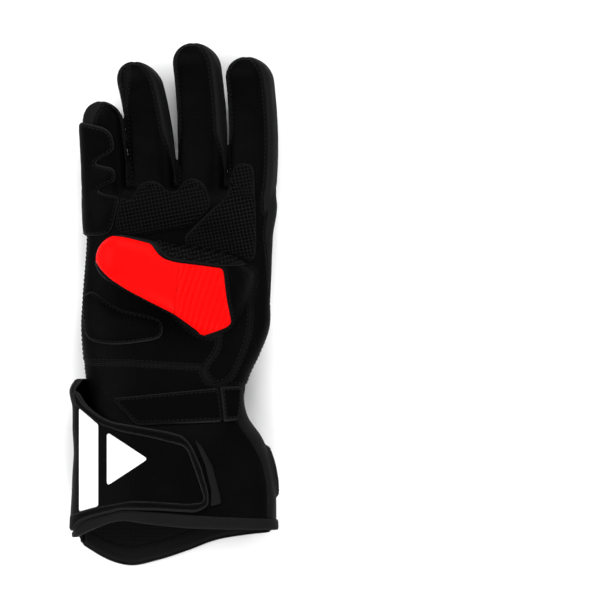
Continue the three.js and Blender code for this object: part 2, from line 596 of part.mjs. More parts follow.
// The cuff's walls, lining and bindings
const cuffTop = box(-FAR, FAR, -FAR, 0, CUFF_SEAM_Z + GAP, TOP);
const cuffBottom = box(-FAR, FAR, -FAR, 0, UNDER, CUFF_SEAM_Z);
const cuffSideZone = (by) =>
  join(prism(swell(CUFF_SIDE, by), CUFF_SIDE_Z, TOP), box(CUFF_SIDE_X, FAR, -FAR, 0, 0, CUFF_SIDE_Z));
pieces.cuff_palm = cuff.intersect(cuffTop).subtract(cuffSideZone(GAP));
pieces.cuff_side = cuff.intersect(cuffTop).intersect(cuffSideZone(0));
pieces.cuff_back = cuff.intersect(cuffBottom);
const liningFace = (grow) => trunk(grow, TRUNK, TRUNK_SIDES.inner);
const liningWall = liningFace(-LEATHER - GAP).subtract(liningFace(-LEATHER - GAP - LINING));
const lining = cut(liningWall.intersect(box(-FAR, FAR, -FAR, LINING_Y, UNDER, TOP)), [
  beyondNearHem(2 * LINING, CUFF_SEAM_Z),
  beyondFarHem(2 * LINING),
]);
const facingZone = (by) => {
  const line = moved(FAR_HEM, 0, 2 * LINING + FACING + by);
  return prism(upTo(line, -FAR), UNDER, CUFF_SEAM_Z + by);
};
pieces.hem_facing = lining.intersect(facingZone(0));
pieces.cuff_lining = lining.subtract(facingZone(GAP));
const hemZone = prism(upTo(NEAR_HEM_BAND, -FAR), CUFF_SEAM_Z + GAP, TOP).subtract(beyondNearHem(0, 0));
pieces.cuff_guard = trunk(CUFF_PAD).subtract(trunk(GAP)).intersect(sidePrism(CUFF_GUARD, CUFF_SIDE_X, FAR));

// The closing flap and what is sewn on it
const flapForm = (grow) => trunk(grow, FLAP_FORM);
const flapZone = (by) => {
  const { top, bottom, x, low, high } = FLAP_SIDE;
  const under = box(-FAR, x + by, bottom - by, top + by, low - by, high);
  return join(prism(swell(FLAP_EDGE, by), high, TOP), under);
};
pieces.cuff_flap = cut(flapForm(0), [flapForm(-FLAP), trunk(GAP)]).intersect(flapZone(0));
pieces.hem_binding = onTrunk(BINDING).intersect(hemZone).subtract(flapZone(GAP));
const onFlap = (thick, outline) =>
  flapForm(GAP + thick).subtract(flapForm(GAP)).intersect(prism(outline, FLAP_SIDE.high + STRAP, TOP));
const flapField = prism(FLAP_FIELD, 0, TOP);
pieces.flap_binding = onFlap(BINDING, swell(FLAP_EDGE, -GAP)).subtract(flapField);
pieces.flap_stripe = onFlap(INLAY, STRIPE);
pieces.flap_triangle = onFlap(INLAY, TRIANGLE);
pieces.flap_tab = onTrunk(STRAP).intersect(prism(TAB, SIDE_SEAM_Z, TOP));

// Colours and finish
const LOOKS = {
  black_leather: { color: 0x0b0b0c, roughness: 0.55, metalness: 0 },
  grey_leather: { color: 0x1c1c1c, roughness: 0.6, metalness: 0 },
  red_leather: { color: 0xf01010, roughness: 0.5, metalness: 0 },
  grip: { color: 0x121212, roughness: 0.85, metalness: 0 },
  webbing: { color: 0x101010, roughness: 0.9, metalness: 0 },
  lining: { color: 0x161616, roughness: 0.8, metalness: 0 },
  white_leather: { color: 0xf4f4f2, roughness: 0.5, metalness: 0 },
};
const FINISH = {
  grey_leather: [
    "fourchette_little_ring", "fourchette_ring_middle", "fourchette_middle_index", "side_panel_index",
    "side_panel_little", "thumb_side", "cuff_side", "hem_binding", "hem_facing", "flap_tab",
  ],
  red_leather: ["thumb_back", "thumb_accordion"],
  grip: ["grip_patch_fingers", "grip_patch_index", "grip_patch_thumb"],
  webbing: ["wrist_strap", "strap_keeper"],
  lining: ["cuff_lining"],
  white_leather: ["flap_stripe", "flap_triangle"],
};

const glove = new THREE.Group();
glove.name = "motorcycle_racing_glove";
for (const [name, body] of Object.entries(pieces)) {
  const look = Object.keys(FINISH).find((key) => FINISH[key].includes(name)) ?? "black_leather";
  const mesh = new THREE.Mesh(geometryOf(body), new THREE.MeshStandardMaterial(LOOKS[look]));
  mesh.name = name;
  glove.add(mesh);
}

export default glove;
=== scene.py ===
# %% [markdown]
# A motorcycle racing glove for the right hand, lying on its back on a pale table with the thumb folded over
# the palm. The real glove is leather cut into flat panels, sewn inside out and turned, with patches sewn on
# top. The lesson follows that order: first the outer form of the whole glove, then the cut into panels and the
# finishes, then the pieces, the stitching and the light.

# %% Load the frame
import json
import math
import bpy
import numpy as np
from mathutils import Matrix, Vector, kdtree, noise

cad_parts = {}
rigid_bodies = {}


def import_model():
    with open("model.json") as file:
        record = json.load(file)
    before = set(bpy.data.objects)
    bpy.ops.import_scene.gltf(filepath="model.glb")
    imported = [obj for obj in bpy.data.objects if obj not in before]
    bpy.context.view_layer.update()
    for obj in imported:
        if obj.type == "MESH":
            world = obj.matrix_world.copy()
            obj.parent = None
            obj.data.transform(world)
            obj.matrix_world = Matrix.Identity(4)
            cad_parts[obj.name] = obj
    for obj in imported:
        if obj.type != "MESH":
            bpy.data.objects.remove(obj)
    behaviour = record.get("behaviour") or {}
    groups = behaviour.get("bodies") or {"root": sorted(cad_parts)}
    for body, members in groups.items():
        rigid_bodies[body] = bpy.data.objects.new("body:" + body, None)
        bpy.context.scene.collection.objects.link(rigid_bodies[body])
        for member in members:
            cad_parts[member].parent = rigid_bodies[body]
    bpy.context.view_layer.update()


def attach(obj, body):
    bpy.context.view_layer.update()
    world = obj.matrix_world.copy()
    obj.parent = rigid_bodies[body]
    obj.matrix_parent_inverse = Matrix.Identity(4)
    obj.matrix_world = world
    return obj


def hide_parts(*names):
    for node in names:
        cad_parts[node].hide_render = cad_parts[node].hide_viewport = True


for leftover in list(bpy.data.objects):
    bpy.data.objects.remove(leftover)
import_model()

# %% [markdown]
# All shapes here are worked out in millimetres, because glove makers think in them, and become metres when a
# mesh is made. The short tables name the sections of the hand and the cuff, the fingers and the thumb. The
# outlines are the seams and the edges of the patches, seen from above.

# %% Driving sizes in millimetres
MM = 0.001  # a millimetre in metres
LEATHER = 2.0  # wall of the hand and the cuff
FINGER_LEATHER = 1.6  # thinner wall of the thumb and of the fingers' sides
GAP = 0.3  # between two panels, and under a patch
PATCH = 1.3  # grip patches and heel patch
STRAP = 1.9  # strap, little finger's guard and tab
KEEPER_HEIGHT = 2.4
CUFF_GUARD_HEIGHT = 1.4
FLAP = 2.0
LINING = 1.0
BINDING = 0.9
INLAY = 0.6  # white stripe and white triangle
TIP_RADIUS = 14  # rounding of the fingers' and the thumb's tips
SIDE_SHARE = 0.8  # a side strip's half height, as a share of the finger's half depth
NARROW_SHARE = 0.1  # the same above the middle line, for the little finger's strip beside the ring finger
SIDE_SEAM_Z = 17  # where palm and back meet at the side of the hand
CUFF_SEAM_Z = 14  # and at the side of the cuff
CUFF_SIDE_Z = 22  # above this the cuff's grey panel follows its outline, below it the whole side is grey
CUFF_SIDE_X = 30  # the side of the cuff under the thumb starts here
RIB_PITCH = 3.5
RIB_HEIGHT = 1.1
GRID_PITCH = 2.1
SOFT = dict(hand_end=3, table=1.2, crotch=0.8, knuckles=3, thumb=2)  # how gently two forms run together

# %% Sections of the hand and the cuff, of the fingers, the thumb and the flap
TRUNK = dict(
    y=[71.5, 69.5, 65, 40, 2, -15, -30, -44, -57, -67, -80, -104, -132, -160],
    left=[-49.8, -51.8, -52.8, -52.8, -55.4, -56.2, -55.2, -53.4, -51.4, -52, -56, -59.2, -60.6, -61.2],
    right=[55.6, 58.6, 60.4, 58.8, 57.2, 56.4, 50.8, 44.4, 41.4, 43.6, 52.2, 59.4, 60.9, 61.4],
    top=[20, 24, 27.5, 30, 33, 36, 38, 39.5, 41, 43, 47, 51, 55, 57.5],
    bottom=[9, 4.5, 0.5, -1.6, -1.8, -1.6, -1.2, -0.6, 0.6, 0, -1, -2, -2.6, -2.8],
    square=[2.6, 2.6, 2.7, 2.8, 2.6, 2.5, 2.4, 2.3, 2.25, 2.25, 2.25, 2.3, 2.35, 2.4],
)
FLAP_FORM = dict(
    y=[-40, -50, -62, -75, -88, -104, -132, -140],
    left=[-55, -63, -61.6, -61.4, -60.8, -61.6, -63, -63.2],
    right=[48, 48, 50, 54, 58, 61.8, 63.3, 63.4],
    top=[45, 46, 47.5, 49.4, 51.4, 53.4, 57.4, 58],
    bottom=[0, 0, -1, -2, -3, -4.4, -5, -5],
    square=[2.3, 2.3, 2.3, 2.3, 2.3, 2.3, 2.35, 2.35],
)
# name: middle line's x at y 60, at y 100 and at the tip, the tip's y, half width and half depth
FINGERS = dict(
    little=(-40.4, -42.2, -44.4, 121.8, 12.6, 9.8),
    ring=(-13.5, -14.9, -24.5, 145.6, 13.9, 10.4),
    middle=(15, 16.5, 11.1, 156.8, 14.7, 10.6),
    index=(44.8, 47.2, 42.9, 148.4, 14.6, 10.6),
)
KNUCKLE_Y = 60
MIDDLE_Y = 100
# A finger starts narrow inside the palm and has its full width from FINGER_FULL_Y on
FINGER_START_Y = 48
FINGER_FULL_Y = 74
FINGER_START_SHARE = 0.76
FINGER_TAPER = 0.05
FINGER_BASE_Z = 15
FINGER_LIFT = 12
FINGER_SQUARE = 3.3
FINGER_ROLL = math.radians(18)
THUMB = dict(
    x=[46, 38, 24, 8, -8, -22, -34, -47.8],
    y=[-5, -2, 5, 11.8, 17.2, 22.8, 26.6, 28.8],
    z=[16, 24, 34.5, 42, 45.5, 46.3, 46.3, 46],
    half_width=[15, 23.5, 24.6, 21.4, 18.4, 16.8, 15.2, 14],
    half_depth=[6, 13, 13.5, 12.6, 11.8, 11.4, 11.2, 11],
)
THUMB_SQUARE = 2.7
THUMB_ROOT_CAP = 8

# %% Outlines of the panels and patches
THUMB_SEAM = [(41.5, 24), (43.4, 16), (44.8, 8.2), (45.4, -6), (44.6, -16), (42.4, -24.6), (38.6, -34),
              (34.5, -43), (29.5, -47.2), (24.5, -48.2), (20.5, -45), (17, -39.2), (22.8, -31.2),
              (26, -26), (27, -15), (24, 0), (28, 20)]
THUMB_BACK = [(-47.6, 24.6), (-50.5, 30), (-48, 38), (-43.5, 42.5), (-37.2, 41.3), (-31, 40.8),
              (-23.1, 38.9), (-14.3, 36.5), (-12.5, 33.8), (-10.4, 30.6), (-7.2, 27.6), (-0.2, 25.2),
              (15, 23.4), (29.1, 21.5), (31.2, 3.8), (34.1, -10.7), (33.2, -12.9), (30.6, -14.6),
              (24, -17.2), (16.6, -19.6), (15, -18.9), (13.1, -16.5), (-0.2, -6.8), (-16, 1.2),
              (-29.3, 8.2), (-38.5, 14.2), (-44.3, 19.6)]
ACCORDION_LINE = [(4.2, 40), (-3, -30)]
THUMB_GRIP = [(-12.2, 37.6), (0, 39), (19, 35.5), (44, 30.5), (47, 26), (43.5, 23.2), (29.8, 22.4),
              (15, 24.2), (0, 26.1), (-6.3, 28.4), (-10.8, 33.6)]
GRIP_FINGERS = [(-36.6, 45), (-33.4, 59.4), (-32.2, 64), (-27.4, 61.4), (-24.2, 65), (-21.5, 71.5),
                (-15, 74.2), (-8.5, 72.6), (-5.3, 67.2), (1.2, 66.7), (5.5, 73.7), (10.9, 75.8),
                (17.4, 72.6), (19.6, 67.2), (21.7, 60.7), (19.6, 56.3), (10.5, 46.9), (-4.2, 44.5),
                (-18.2, 41.8), (-27, 41.6)]
GRIP_INDEX = [(35.2, 81.2), (39, 84.5), (45.5, 83.9), (47.6, 80.7), (48.2, 56.4), (48.5, 29.4),
              (45.5, 25.6), (36, 22), (10, 30), (4.4, 39.1), (11.3, 46.2), (21, 55.8), (31.4, 64),
              (33, 72.6)]
HEEL = [(-54.4, -4.8), (-54.4, 3.4), (-53, 6.2), (-49.8, 7.7), (-46, 5.8), (-40.2, 1), (-34.4, -2.7),
        (-27.7, -4.8), (-19.1, -6.5), (-11.4, -8.4), (-8, -10.8), (-7.1, -14.4), (-8, -19.2),
        (-11.4, -21.4), (-21, -23), (-30.6, -24.2), (-40.2, -24.3), (-48.8, -22.6), (-52.2, -20.2),
        (-53.8, -16.3)]
LITTLE_TIP = [(-62, 103), (-49.4, 103), (-48.8, 112.8), (-44, 119.2), (-44, 128), (-62, 128)]
GUARD = [(-70, 109.2), (-56, 109.2), (-49.6, 107.7), (-42.6, 106.1), (-38.2, 102.8), (-36.8, 97.4),
         (-36.6, 92), (-43.2, 88.2), (-48.5, 84.5), (-43.6, 82.8), (-36, 81.5), (-35.5, 73.7), (-42, 71),
         (-46.8, 68.3), (-42, 65.6), (-33.4, 64.2), (-34, 59.6), (-37.2, 46.8), (-40.2, 41.4),
         (-53.4, 40.8), (-70, 40.8)]
STRAP_OUTLINE = [(-37.6, -56.8), (26.2, -50.4), (28.4, -70.8), (-23, -73)]
KEEPER = [(26.9, -50.2), (38.4, -49.4), (37.4, -69.8), (29.1, -70.7)]
WRIST_LINE = [(-80, -34.4), (-27, -35.4), (-3, -36.8), (15, -37.8), (19.5, -47), (32, -49), (80, -50)]
BACK_WRIST_Y = -46
FLAP_EDGE = [(-80, -52), (-59.4, -52), (-54.6, -60.2), (-45, -67.4), (-37.3, -70.8), (-22.9, -73.2),
             (-3.7, -76.6), (4.8, -79), (9.6, -84.2), (15.6, -97.2), (20, -112.6), (20.3, -121.2),
             (12.6, -125), (-11.4, -123.6), (-32.5, -123.2), (-42.6, -125.8), (-51.4, -128),
             (-58.6, -131.2), (-60.6, -136), (-80, -136)]
FLAP_FIELD = [(-66, -55), (-58, -61.8), (-45.5, -72.2), (-32.5, -76.6), (-11.4, -80.9), (4.9, -85.2),
              (7.8, -88.6), (12.6, -102), (17.4, -116.4), (16.4, -119.2), (7.8, -120.2), (-11.4, -118.8),
              (-25.8, -118.3), (-46, -121.9), (-58.5, -125.5), (-66, -127.7)]
TAB = [(11.4, -80.9), (16.2, -85.7), (22.2, -97.2), (27, -115.4), (27.5, -119.8), (21.2, -121.4),
       (21.6, -112.4), (18, -96.8)]
STRIPE = [(-57.3, -62.4), (-46, -72.4), (-46, -121.4), (-57.3, -124.6)]
TRIANGLE = [(-40.8, -76.8), (-40.8, -109.2), (-16.2, -93)]
NEAR_HEM = [(-80, -140.4), (-61.5, -140.2), (-58, -139), (-54.6, -137.4), (-33.5, -130.2),
            (-15.2, -132.2), (10.7, -134.6), (31.8, -135.1), (80, -135.6)]
NEAR_HEM_BAND = [(-80, -137.2), (-61.6, -136.9), (-59.6, -132), (-51.4, -129), (-42.6, -126.8),
                 (-33.6, -124.5), (-15.2, -125), (17.4, -127.4), (55.8, -129), (80, -129.4)]
FAR_HEM = [(-80, -135.6), (-62.4, -137), (-58.2, -141.6), (-49.8, -147.6), (-39, -153.6), (-27, -156.6),
           (-10.8, -153.6), (7.8, -147.6), (24, -141.6), (42, -138.4), (80, -135.6)]
CUFF_SIDE = [(38.6, -40), (38.6, -70), (42.3, -75.6), (46.7, -81.6), (50.2, -87.6), (53.1, -93.6),
             (56.2, -105.6), (56.8, -117.6), (56.8, -150), (90, -150), (90, -40)]
# Outlines of the side pieces, y and z
SIDE_RIGHT = [(80, 25), (66, 24.4), (40, 23.2), (18, 21.2), (2, 17.4), (-8, 17), (10, 13), (40, 9),
              (66, 8), (80, 10)]
SIDE_LEFT = [(80, 20), (66, 19.5), (50, 18.6), (38, 17), (50, 8), (66, 6), (80, 5)]
CUFF_GUARD = [(-84, 20), (-88, 25), (-98, 28), (-110, 27), (-117, 21), (-117, 10), (-110, 5), (-94, 5),
              (-86, 10)]

# %% [markdown]
# The outer form of a glove is soft everywhere, so a lofted tube for each finger would leave hard creases where
# it meets the palm. Instead each part is a distance field: a function that is negative inside the leather's
# outer face and grows by one for each millimetre outside. Two fields are joined by a smooth minimum, which
# fills the crotch between two fingers as a sewn seam does.

# %% Curves through the tables
def curve(where, at, values):
    """A smooth curve through the rows of a table, flat beyond its ends."""
    order = np.argsort(at)
    at, values = np.asarray(at, float)[order], np.asarray(values, float)[order]
    slopes = np.gradient(values, at)
    where = np.clip(where, at[0], at[-1])
    k = np.clip(np.searchsorted(at, where) - 1, 0, len(at) - 2)
    step = at[k + 1] - at[k]
    t = (where - at[k]) / step
    rise = (1 + 2 * t) * (1 - t) ** 2 * values[k] + t * t * (3 - 2 * t) * values[k + 1]
    return rise + step * (t * (1 - t) ** 2 * slopes[k] - t * t * (1 - t) * slopes[k + 1])


def smooth_step(x, low, high):
    t = np.clip((x - low) / (high - low), 0, 1)
    return t * t * (3 - 2 * t)


def smooth_min(a, b, soft):
    h = np.maximum(soft - np.abs(a - b), 0) / soft
    return np.minimum(a, b) - h * h * soft / 4


def smooth_max(a, b, soft):
    return -smooth_min(-a, -b, soft)


def unit(vectors):
    """The same vectors with a length of one."""
    return vectors / np.maximum(np.linalg.norm(vectors, axis=1)[:, None], 1e-9)


# %% Distance to a rounded box section
def section(u, v, half_width, half_depth, square):
    """How far out a point is as a share of the section, and how fast that share grows."""
    a = np.abs(u) / half_width + 1e-6
    b = np.abs(v) / half_depth + 1e-6
    share = (a**square + b**square) ** (1 / square)
    slope = share ** (1 - square) * np.hypot(a ** (square - 1) / half_width, b ** (square - 1) / half_depth)
    return share, slope


def capped(share, slope, beyond, radius):
    """The same with a round end: beyond is how far a point lies past the start of the rounding."""
    t = np.maximum(beyond, 0) / radius
    whole = np.hypot(share, t) + 1e-9
    steepness = np.hypot(share * slope, t / radius) / whole
    return (whole - 1) / np.maximum(steepness, 1e-3)


# %% The hand and the cuff
def trunk_section(y, rows):
    """The middle, the half sizes and the squareness of a form's section at each y."""
    left, right, top, bottom, square = (
        curve(y, rows["y"], rows[name]) for name in ("left", "right", "top", "bottom", "square")
    )
    return (left + right) / 2, (top + bottom) / 2, (right - left) / 2, (top - bottom) / 2, square


def trunk_field(x, y, z, rows=TRUNK):
    middle_x, middle_z, half_width, half_depth, square = trunk_section(y, rows)
    share, slope = section(x - middle_x, z - middle_z, half_width, half_depth, square)
    distance = (share - 1) / slope
    if rows is TRUNK:
        distance = smooth_max(distance, y - rows["y"][0], SOFT["hand_end"])
    return smooth_max(distance, -z, SOFT["table"])


# %% The fingers
def finger_frame(row, x, y, z):
    """Places of points in a finger's own section, rolled about the middle line, and its half sizes."""
    base_x, middle_x, tip_x, tip_y, half_width, half_depth = row
    line = np.polyfit([KNUCKLE_Y, MIDDLE_Y, tip_y], [base_x, middle_x, tip_x], 2)
    along = np.maximum(0, (y - KNUCKLE_Y) / (tip_y - KNUCKLE_Y))
    grown = FINGER_START_SHARE + (1 - FINGER_START_SHARE) * smooth_step(y, FINGER_START_Y, FINGER_FULL_Y)
    grown = grown * (1 - FINGER_TAPER * along)
    dx = x - np.polyval(line, y)
    dz = z - (FINGER_BASE_Z + FINGER_LIFT * along**2)
    u = dx * math.cos(FINGER_ROLL) + dz * math.sin(FINGER_ROLL)
    v = dz * math.cos(FINGER_ROLL) - dx * math.sin(FINGER_ROLL)
    return u, v, half_width * grown, half_depth * grown


def finger_field(row, x, y, z):
    u, v, half_width, half_depth = finger_frame(row, x, y, z)
    share, slope = section(u, v, half_width, half_depth, FINGER_SQUARE)
    beyond = np.maximum(y - (row[3] - TIP_RADIUS), (FINGER_START_Y - y) * 2)
    return capped(share, slope, beyond, TIP_RADIUS)


# %% The thumb
def through(points, steps=24):
    """A Catmull-Rom curve through points, with so many steps between two of them."""
    points = np.asarray(points, float)
    ends = np.vstack([2 * points[0] - points[1], points, 2 * points[-1] - points[-2]])
    found = []
    for k in range(1, len(ends) - 2):
        a, b, c, d = ends[k - 1:k + 3]
        t = np.linspace(0, 1, steps, endpoint=False)[:, None]
        found.append(b + 0.5 * t * (c - a + t * (2 * a - 5 * b + 4 * c - d + t * (3 * (b - c) + d - a))))
    return np.vstack([*found, ends[-2:-1]])


THUMB_LINE = through(np.column_stack([THUMB["x"], THUMB["y"], THUMB["z"]]))
THUMB_ROWS = np.linspace(0, len(THUMB["x"]) - 1, len(THUMB_LINE))
THUMB_WIDTHS, THUMB_DEPTHS = (
    curve(THUMB_ROWS, np.arange(len(THUMB["x"])), THUMB[name]) for name in ("half_width", "half_depth")
)
THUMB_STEP = np.gradient(THUMB_LINE[:, :2], axis=0)
THUMB_HEADING = unit(THUMB_STEP)
THUMB_RISE = np.gradient(THUMB_LINE[:, 2]) / np.linalg.norm(THUMB_STEP, axis=1)
THUMB_RUN = np.concatenate([[0], np.cumsum(np.linalg.norm(np.diff(THUMB_LINE[:, :2], axis=0), axis=1))])
print("thumb's middle line:", round(THUMB_RUN[-1]), "mm long, seen from above")


def thumb_frame(x, y, z):
    """Places in the thumb's upright sections, its half sizes there, and how far along it the points lie."""
    flat = np.column_stack([np.ravel(x), np.ravel(y)])
    nearest = np.zeros(len(flat), int)
    best = np.full(len(flat), np.inf)
    for k, (cx, cy, _) in enumerate(THUMB_LINE):
        far = (flat[:, 0] - cx) ** 2 + (flat[:, 1] - cy) ** 2
        closer = far < best
        nearest[closer] = k
        best[closer] = far[closer]
    nearest = nearest.reshape(np.shape(x))
    heading = THUMB_HEADING[nearest]
    dx, dy = x - THUMB_LINE[nearest, 0], y - THUMB_LINE[nearest, 1]
    ahead = dx * heading[..., 0] + dy * heading[..., 1]
    u = dx * heading[..., 1] - dy * heading[..., 0]
    v = z - THUMB_LINE[nearest, 2] - THUMB_RISE[nearest] * np.clip(ahead, -1, 1)
    return u, v, THUMB_WIDTHS[nearest], THUMB_DEPTHS[nearest], THUMB_RUN[nearest] + ahead


def thumb_field(x, y, z):
    u, v, half_width, half_depth, at = thumb_frame(x, y, z)
    share, slope = section(u, v, half_width, half_depth, THUMB_SQUARE)
    beyond = np.maximum(at - (THUMB_RUN[-1] - TIP_RADIUS), -at * TIP_RADIUS / THUMB_ROOT_CAP)
    return capped(share, slope, beyond, TIP_RADIUS)


# %% The whole glove
def hand_field(x, y, z):
    """The hand with its fingers, without the thumb."""
    fingers = [finger_field(row, x, y, z) for row in FINGERS.values()]
    nearest = fingers[0]
    for other in fingers[1:]:
        nearest = smooth_min(nearest, other, SOFT["crotch"])
    return smooth_min(trunk_field(x, y, z), nearest, SOFT["knuckles"])


def glove_field(x, y, z):
    return smooth_min(hand_field(x, y, z), thumb_field(x, y, z), SOFT["thumb"])


# %% [markdown]
# A field has no faces yet. The surface net below looks at a grid of points, puts one vertex into each cell
# that the surface crosses, and joins the vertices of neighbouring cells. Then each vertex slides along the
# field's own slope until it lies on the surface, which takes away every trace of the grid.

# %% Surface net
class Skin:
    """A triangle mesh in millimetres with the outward normal at each vertex."""

    def __init__(self, points, triangles, normals):
        self.points, self.triangles, self.normals = points, triangles, normals

    def sides(self):
        """The sides of the triangles as pairs of corners: all first sides, then all second and third ones."""
        return np.vstack([self.triangles[:, [0, 1]], self.triangles[:, [1, 2]], self.triangles[:, [2, 0]]])


def slope_of(field, points, reach=0.2):
    """How the field grows along x, y and z at each point."""
    steps = np.eye(3) * reach
    found = [field(*(points + s).T) - field(*(points - s).T) for s in steps]
    return np.column_stack(found) / (2 * reach)


NORMAL_REACH = 0.5


def net(field, low, high, cell):
    """The surface where the field is zero, in a box from low to high, with cells of one size."""
    axes = [np.arange(a, b + cell, cell) for a, b in zip(low, high)]
    values = field(*np.meshgrid(*axes, indexing="ij"))
    solid = values < 0
    count = sum(
        solid[i:solid.shape[0] - 1 + i, j:solid.shape[1] - 1 + j, k:solid.shape[2] - 1 + k].astype(int)
        for i in (0, 1) for j in (0, 1) for k in (0, 1)
    )
    cells = np.argwhere((count > 0) & (count < 8))
    number = np.full(count.shape, -1)
    number[tuple(cells.T)] = np.arange(len(cells))
    total, crossings = np.zeros((len(cells), 3)), np.zeros((len(cells), 1))
    for axis in range(3):
        for first in (0, 1):
            for second in (0, 1):
                corner = np.insert([first, second], axis, 0)
                end = corner + np.eye(3, dtype=int)[axis]
                a, b = values[tuple((cells + corner).T)], values[tuple((cells + end).T)]
                crossed = (a < 0) != (b < 0)
                place = np.repeat(corner[None].astype(float), len(cells), 0)
                place[:, axis] = a / np.where(crossed, a - b, 1)
                total += place * crossed[:, None]
                crossings += crossed[:, None]
    points = np.array(low) + cell * (cells + total / crossings)
    quads = []
    for axis in range(3):
        before = np.take(solid, range(solid.shape[axis] - 1), axis)
        after = np.take(solid, range(1, solid.shape[axis]), axis)
        edges = np.argwhere(before != after)
        others = [k for k in range(3) if k != axis]
        fits = np.all([(edges[:, k] > 0) & (edges[:, k] < solid.shape[k] - 1) for k in others], axis=0)
        edges = edges[fits]
        around = []
        for da, db in ((-1, -1), (0, -1), (0, 0), (-1, 0)):
            place = edges.copy()
            place[:, others[0]] += da
            place[:, others[1]] += db
            around.append(number[tuple(place.T)])
        around = np.column_stack(around)
        outwards = before[tuple(edges.T)] == (axis != 1)
        around[~outwards] = around[~outwards][:, ::-1]
        quads.append(around)
    quads = np.vstack(quads)
    triangles = np.vstack([quads[:, [0, 1, 2]], quads[:, [0, 2, 3]]])
    for _ in range(3):
        slope = slope_of(field, points)
        steepness = np.maximum((slope**2).sum(1), 0.1)
        step = slope * (field(*points.T) / steepness)[:, None]
        size = np.linalg.norm(step, axis=1)[:, None]
        points = points - step * np.minimum(1, 0.6 * cell / np.maximum(size, 1e-9))
    return Skin(points, triangles, unit(slope_of(field, points, NORMAL_REACH)))


glove_skin = net(glove_field, low=(-66, -162, -3), high=(66, 160, 62), cell=1.25)
print("glove skin:", len(glove_skin.points), "vertices,", len(glove_skin.triangles), "triangles")

# %% [markdown]
# A leather worker cuts along a line, and so does split(): the line is where a function of the place is zero.
# Triangles that it crosses are cut in two along it, so an edge comes out clean and not as a row of steps.
# Vertices very close to the line move onto it first, which keeps the triangles along the edge well shaped.

# %% Cutting a skin along a line
SNAP_SHARE = 0.25


def used_only(skin, triangles):
    """A skin of these triangles, with only the points that they use."""
    used, place = np.unique(triangles, return_inverse=True)
    return Skin(skin.points[used], place.reshape(-1, 3), skin.normals[used])


def between(skin, a, b, t):
    """Points and normals on the way from corners a to corners b."""
    t = t[:, None]
    return skin.points[a] * (1 - t) + skin.points[b] * t, unit(skin.normals[a] * (1 - t) + skin.normals[b] * t)


def split(skin, line):
    """The parts of a skin where line(x, y, z) is above and below zero."""
    if len(skin.triangles) == 0:
        return skin, skin
    skin = Skin(skin.points.copy(), skin.triangles, skin.normals.copy())
    value = line(*skin.points.T)
    sides = np.unique(np.sort(skin.sides(), axis=1), axis=0)
    a, b = np.vstack([sides, sides[:, ::-1]]).T
    crossed = value[a] * value[b] < 0
    a, b = a[crossed], b[crossed]
    t = value[a] / (value[a] - value[b])
    near = t < SNAP_SHARE
    a, b, t = a[near], b[near], t[near]
    order = np.argsort(-t)
    points, normals = between(skin, a[order], b[order], t[order])
    skin.points[a[order]] = points
    skin.normals[a[order]] = normals
    value[a] = 0
    sign = np.sign(value).astype(int)
    corner_signs = sign[skin.triangles]
    mixed = (corner_signs.max(1) > 0) & (corner_signs.min(1) < 0)
    kept, cut = skin.triangles[~mixed], skin.triangles[mixed]
    kept_side = np.sign(sign[kept].sum(1))
    # Turn each cut triangle so that its odd corner, or its corner on the line, comes first
    signs = sign[cut]
    on_line = (signs == 0).any(1)
    first = np.where(on_line, np.argmax(signs == 0, 1), np.argmax(signs == -np.sign(signs.sum(1))[:, None], 1))
    turn = (first[:, None] + np.arange(3)) % 3
    cut = np.take_along_axis(cut, turn, 1)
    signs = sign[cut]
    pairs = np.vstack([cut[on_line][:, [1, 2]], cut[~on_line][:, [0, 1]], cut[~on_line][:, [0, 2]]])
    keys, place = np.unique(np.sort(pairs, axis=1), axis=0, return_inverse=True)
    place = place.ravel() + len(skin.points)
    if len(keys):
        share = value[keys[:, 0]] / (value[keys[:, 0]] - value[keys[:, 1]])
        points, normals = between(skin, keys[:, 0], keys[:, 1], share)
        skin.points = np.vstack([skin.points, points])
        skin.normals = np.vstack([skin.normals, normals])
    middle = place[:on_line.sum()]
    left, right = np.split(place[on_line.sum():], 2)
    one, two = cut[on_line], cut[~on_line]
    pieces = [
        (np.column_stack([one[:, 0], one[:, 1], middle]), signs[on_line][:, 1]),
        (np.column_stack([one[:, 0], middle, one[:, 2]]), signs[on_line][:, 2]),
        (np.column_stack([two[:, 0], left, right]), signs[~on_line][:, 0]),
        (np.column_stack([left, two[:, 1], two[:, 2]]), signs[~on_line][:, 1]),
        (np.column_stack([left, two[:, 2], right]), signs[~on_line][:, 1]),
        (kept, kept_side),
    ]
    triangles = np.vstack([p for p, _ in pieces])
    side = np.concatenate([s for _, s in pieces])
    return used_only(skin, triangles[side > 0]), used_only(skin, triangles[side < 0])


# %% Lines to cut along
def inside(outline):
    """A function that is how far a place seen from above lies inside a closed outline."""
    corners = np.asarray(outline, float)

    def line(x, y, z=None):
        best, odd = np.full(np.shape(x), np.inf), np.zeros(np.shape(x), bool)
        for (ax, ay), (bx, by) in zip(corners, np.roll(corners, -1, 0)):
            ex, ey = bx - ax, by - ay
            t = np.clip(((x - ax) * ex + (y - ay) * ey) / (ex * ex + ey * ey + 1e-12), 0, 1)
            best = np.minimum(best, (x - ax - t * ex) ** 2 + (y - ay - t * ey) ** 2)
            if ay != by:
                odd ^= ((ay > y) != (by > y)) & (x < ex * (y - ay) / ey + ax)
        return np.where(odd, 1, -1) * np.sqrt(best)

    return line


def rounded(outline, times=2, cut=0.25):
    """An outline with its corners cut off again and again until they are round."""
    points = np.asarray(outline, float)
    for _ in range(times):
        after = np.roll(points, -1, 0)
        pairs = [points * (1 - cut) + after * cut, points * cut + after * (1 - cut)]
        points = np.stack(pairs, 1).reshape(-1, 2)
    return points


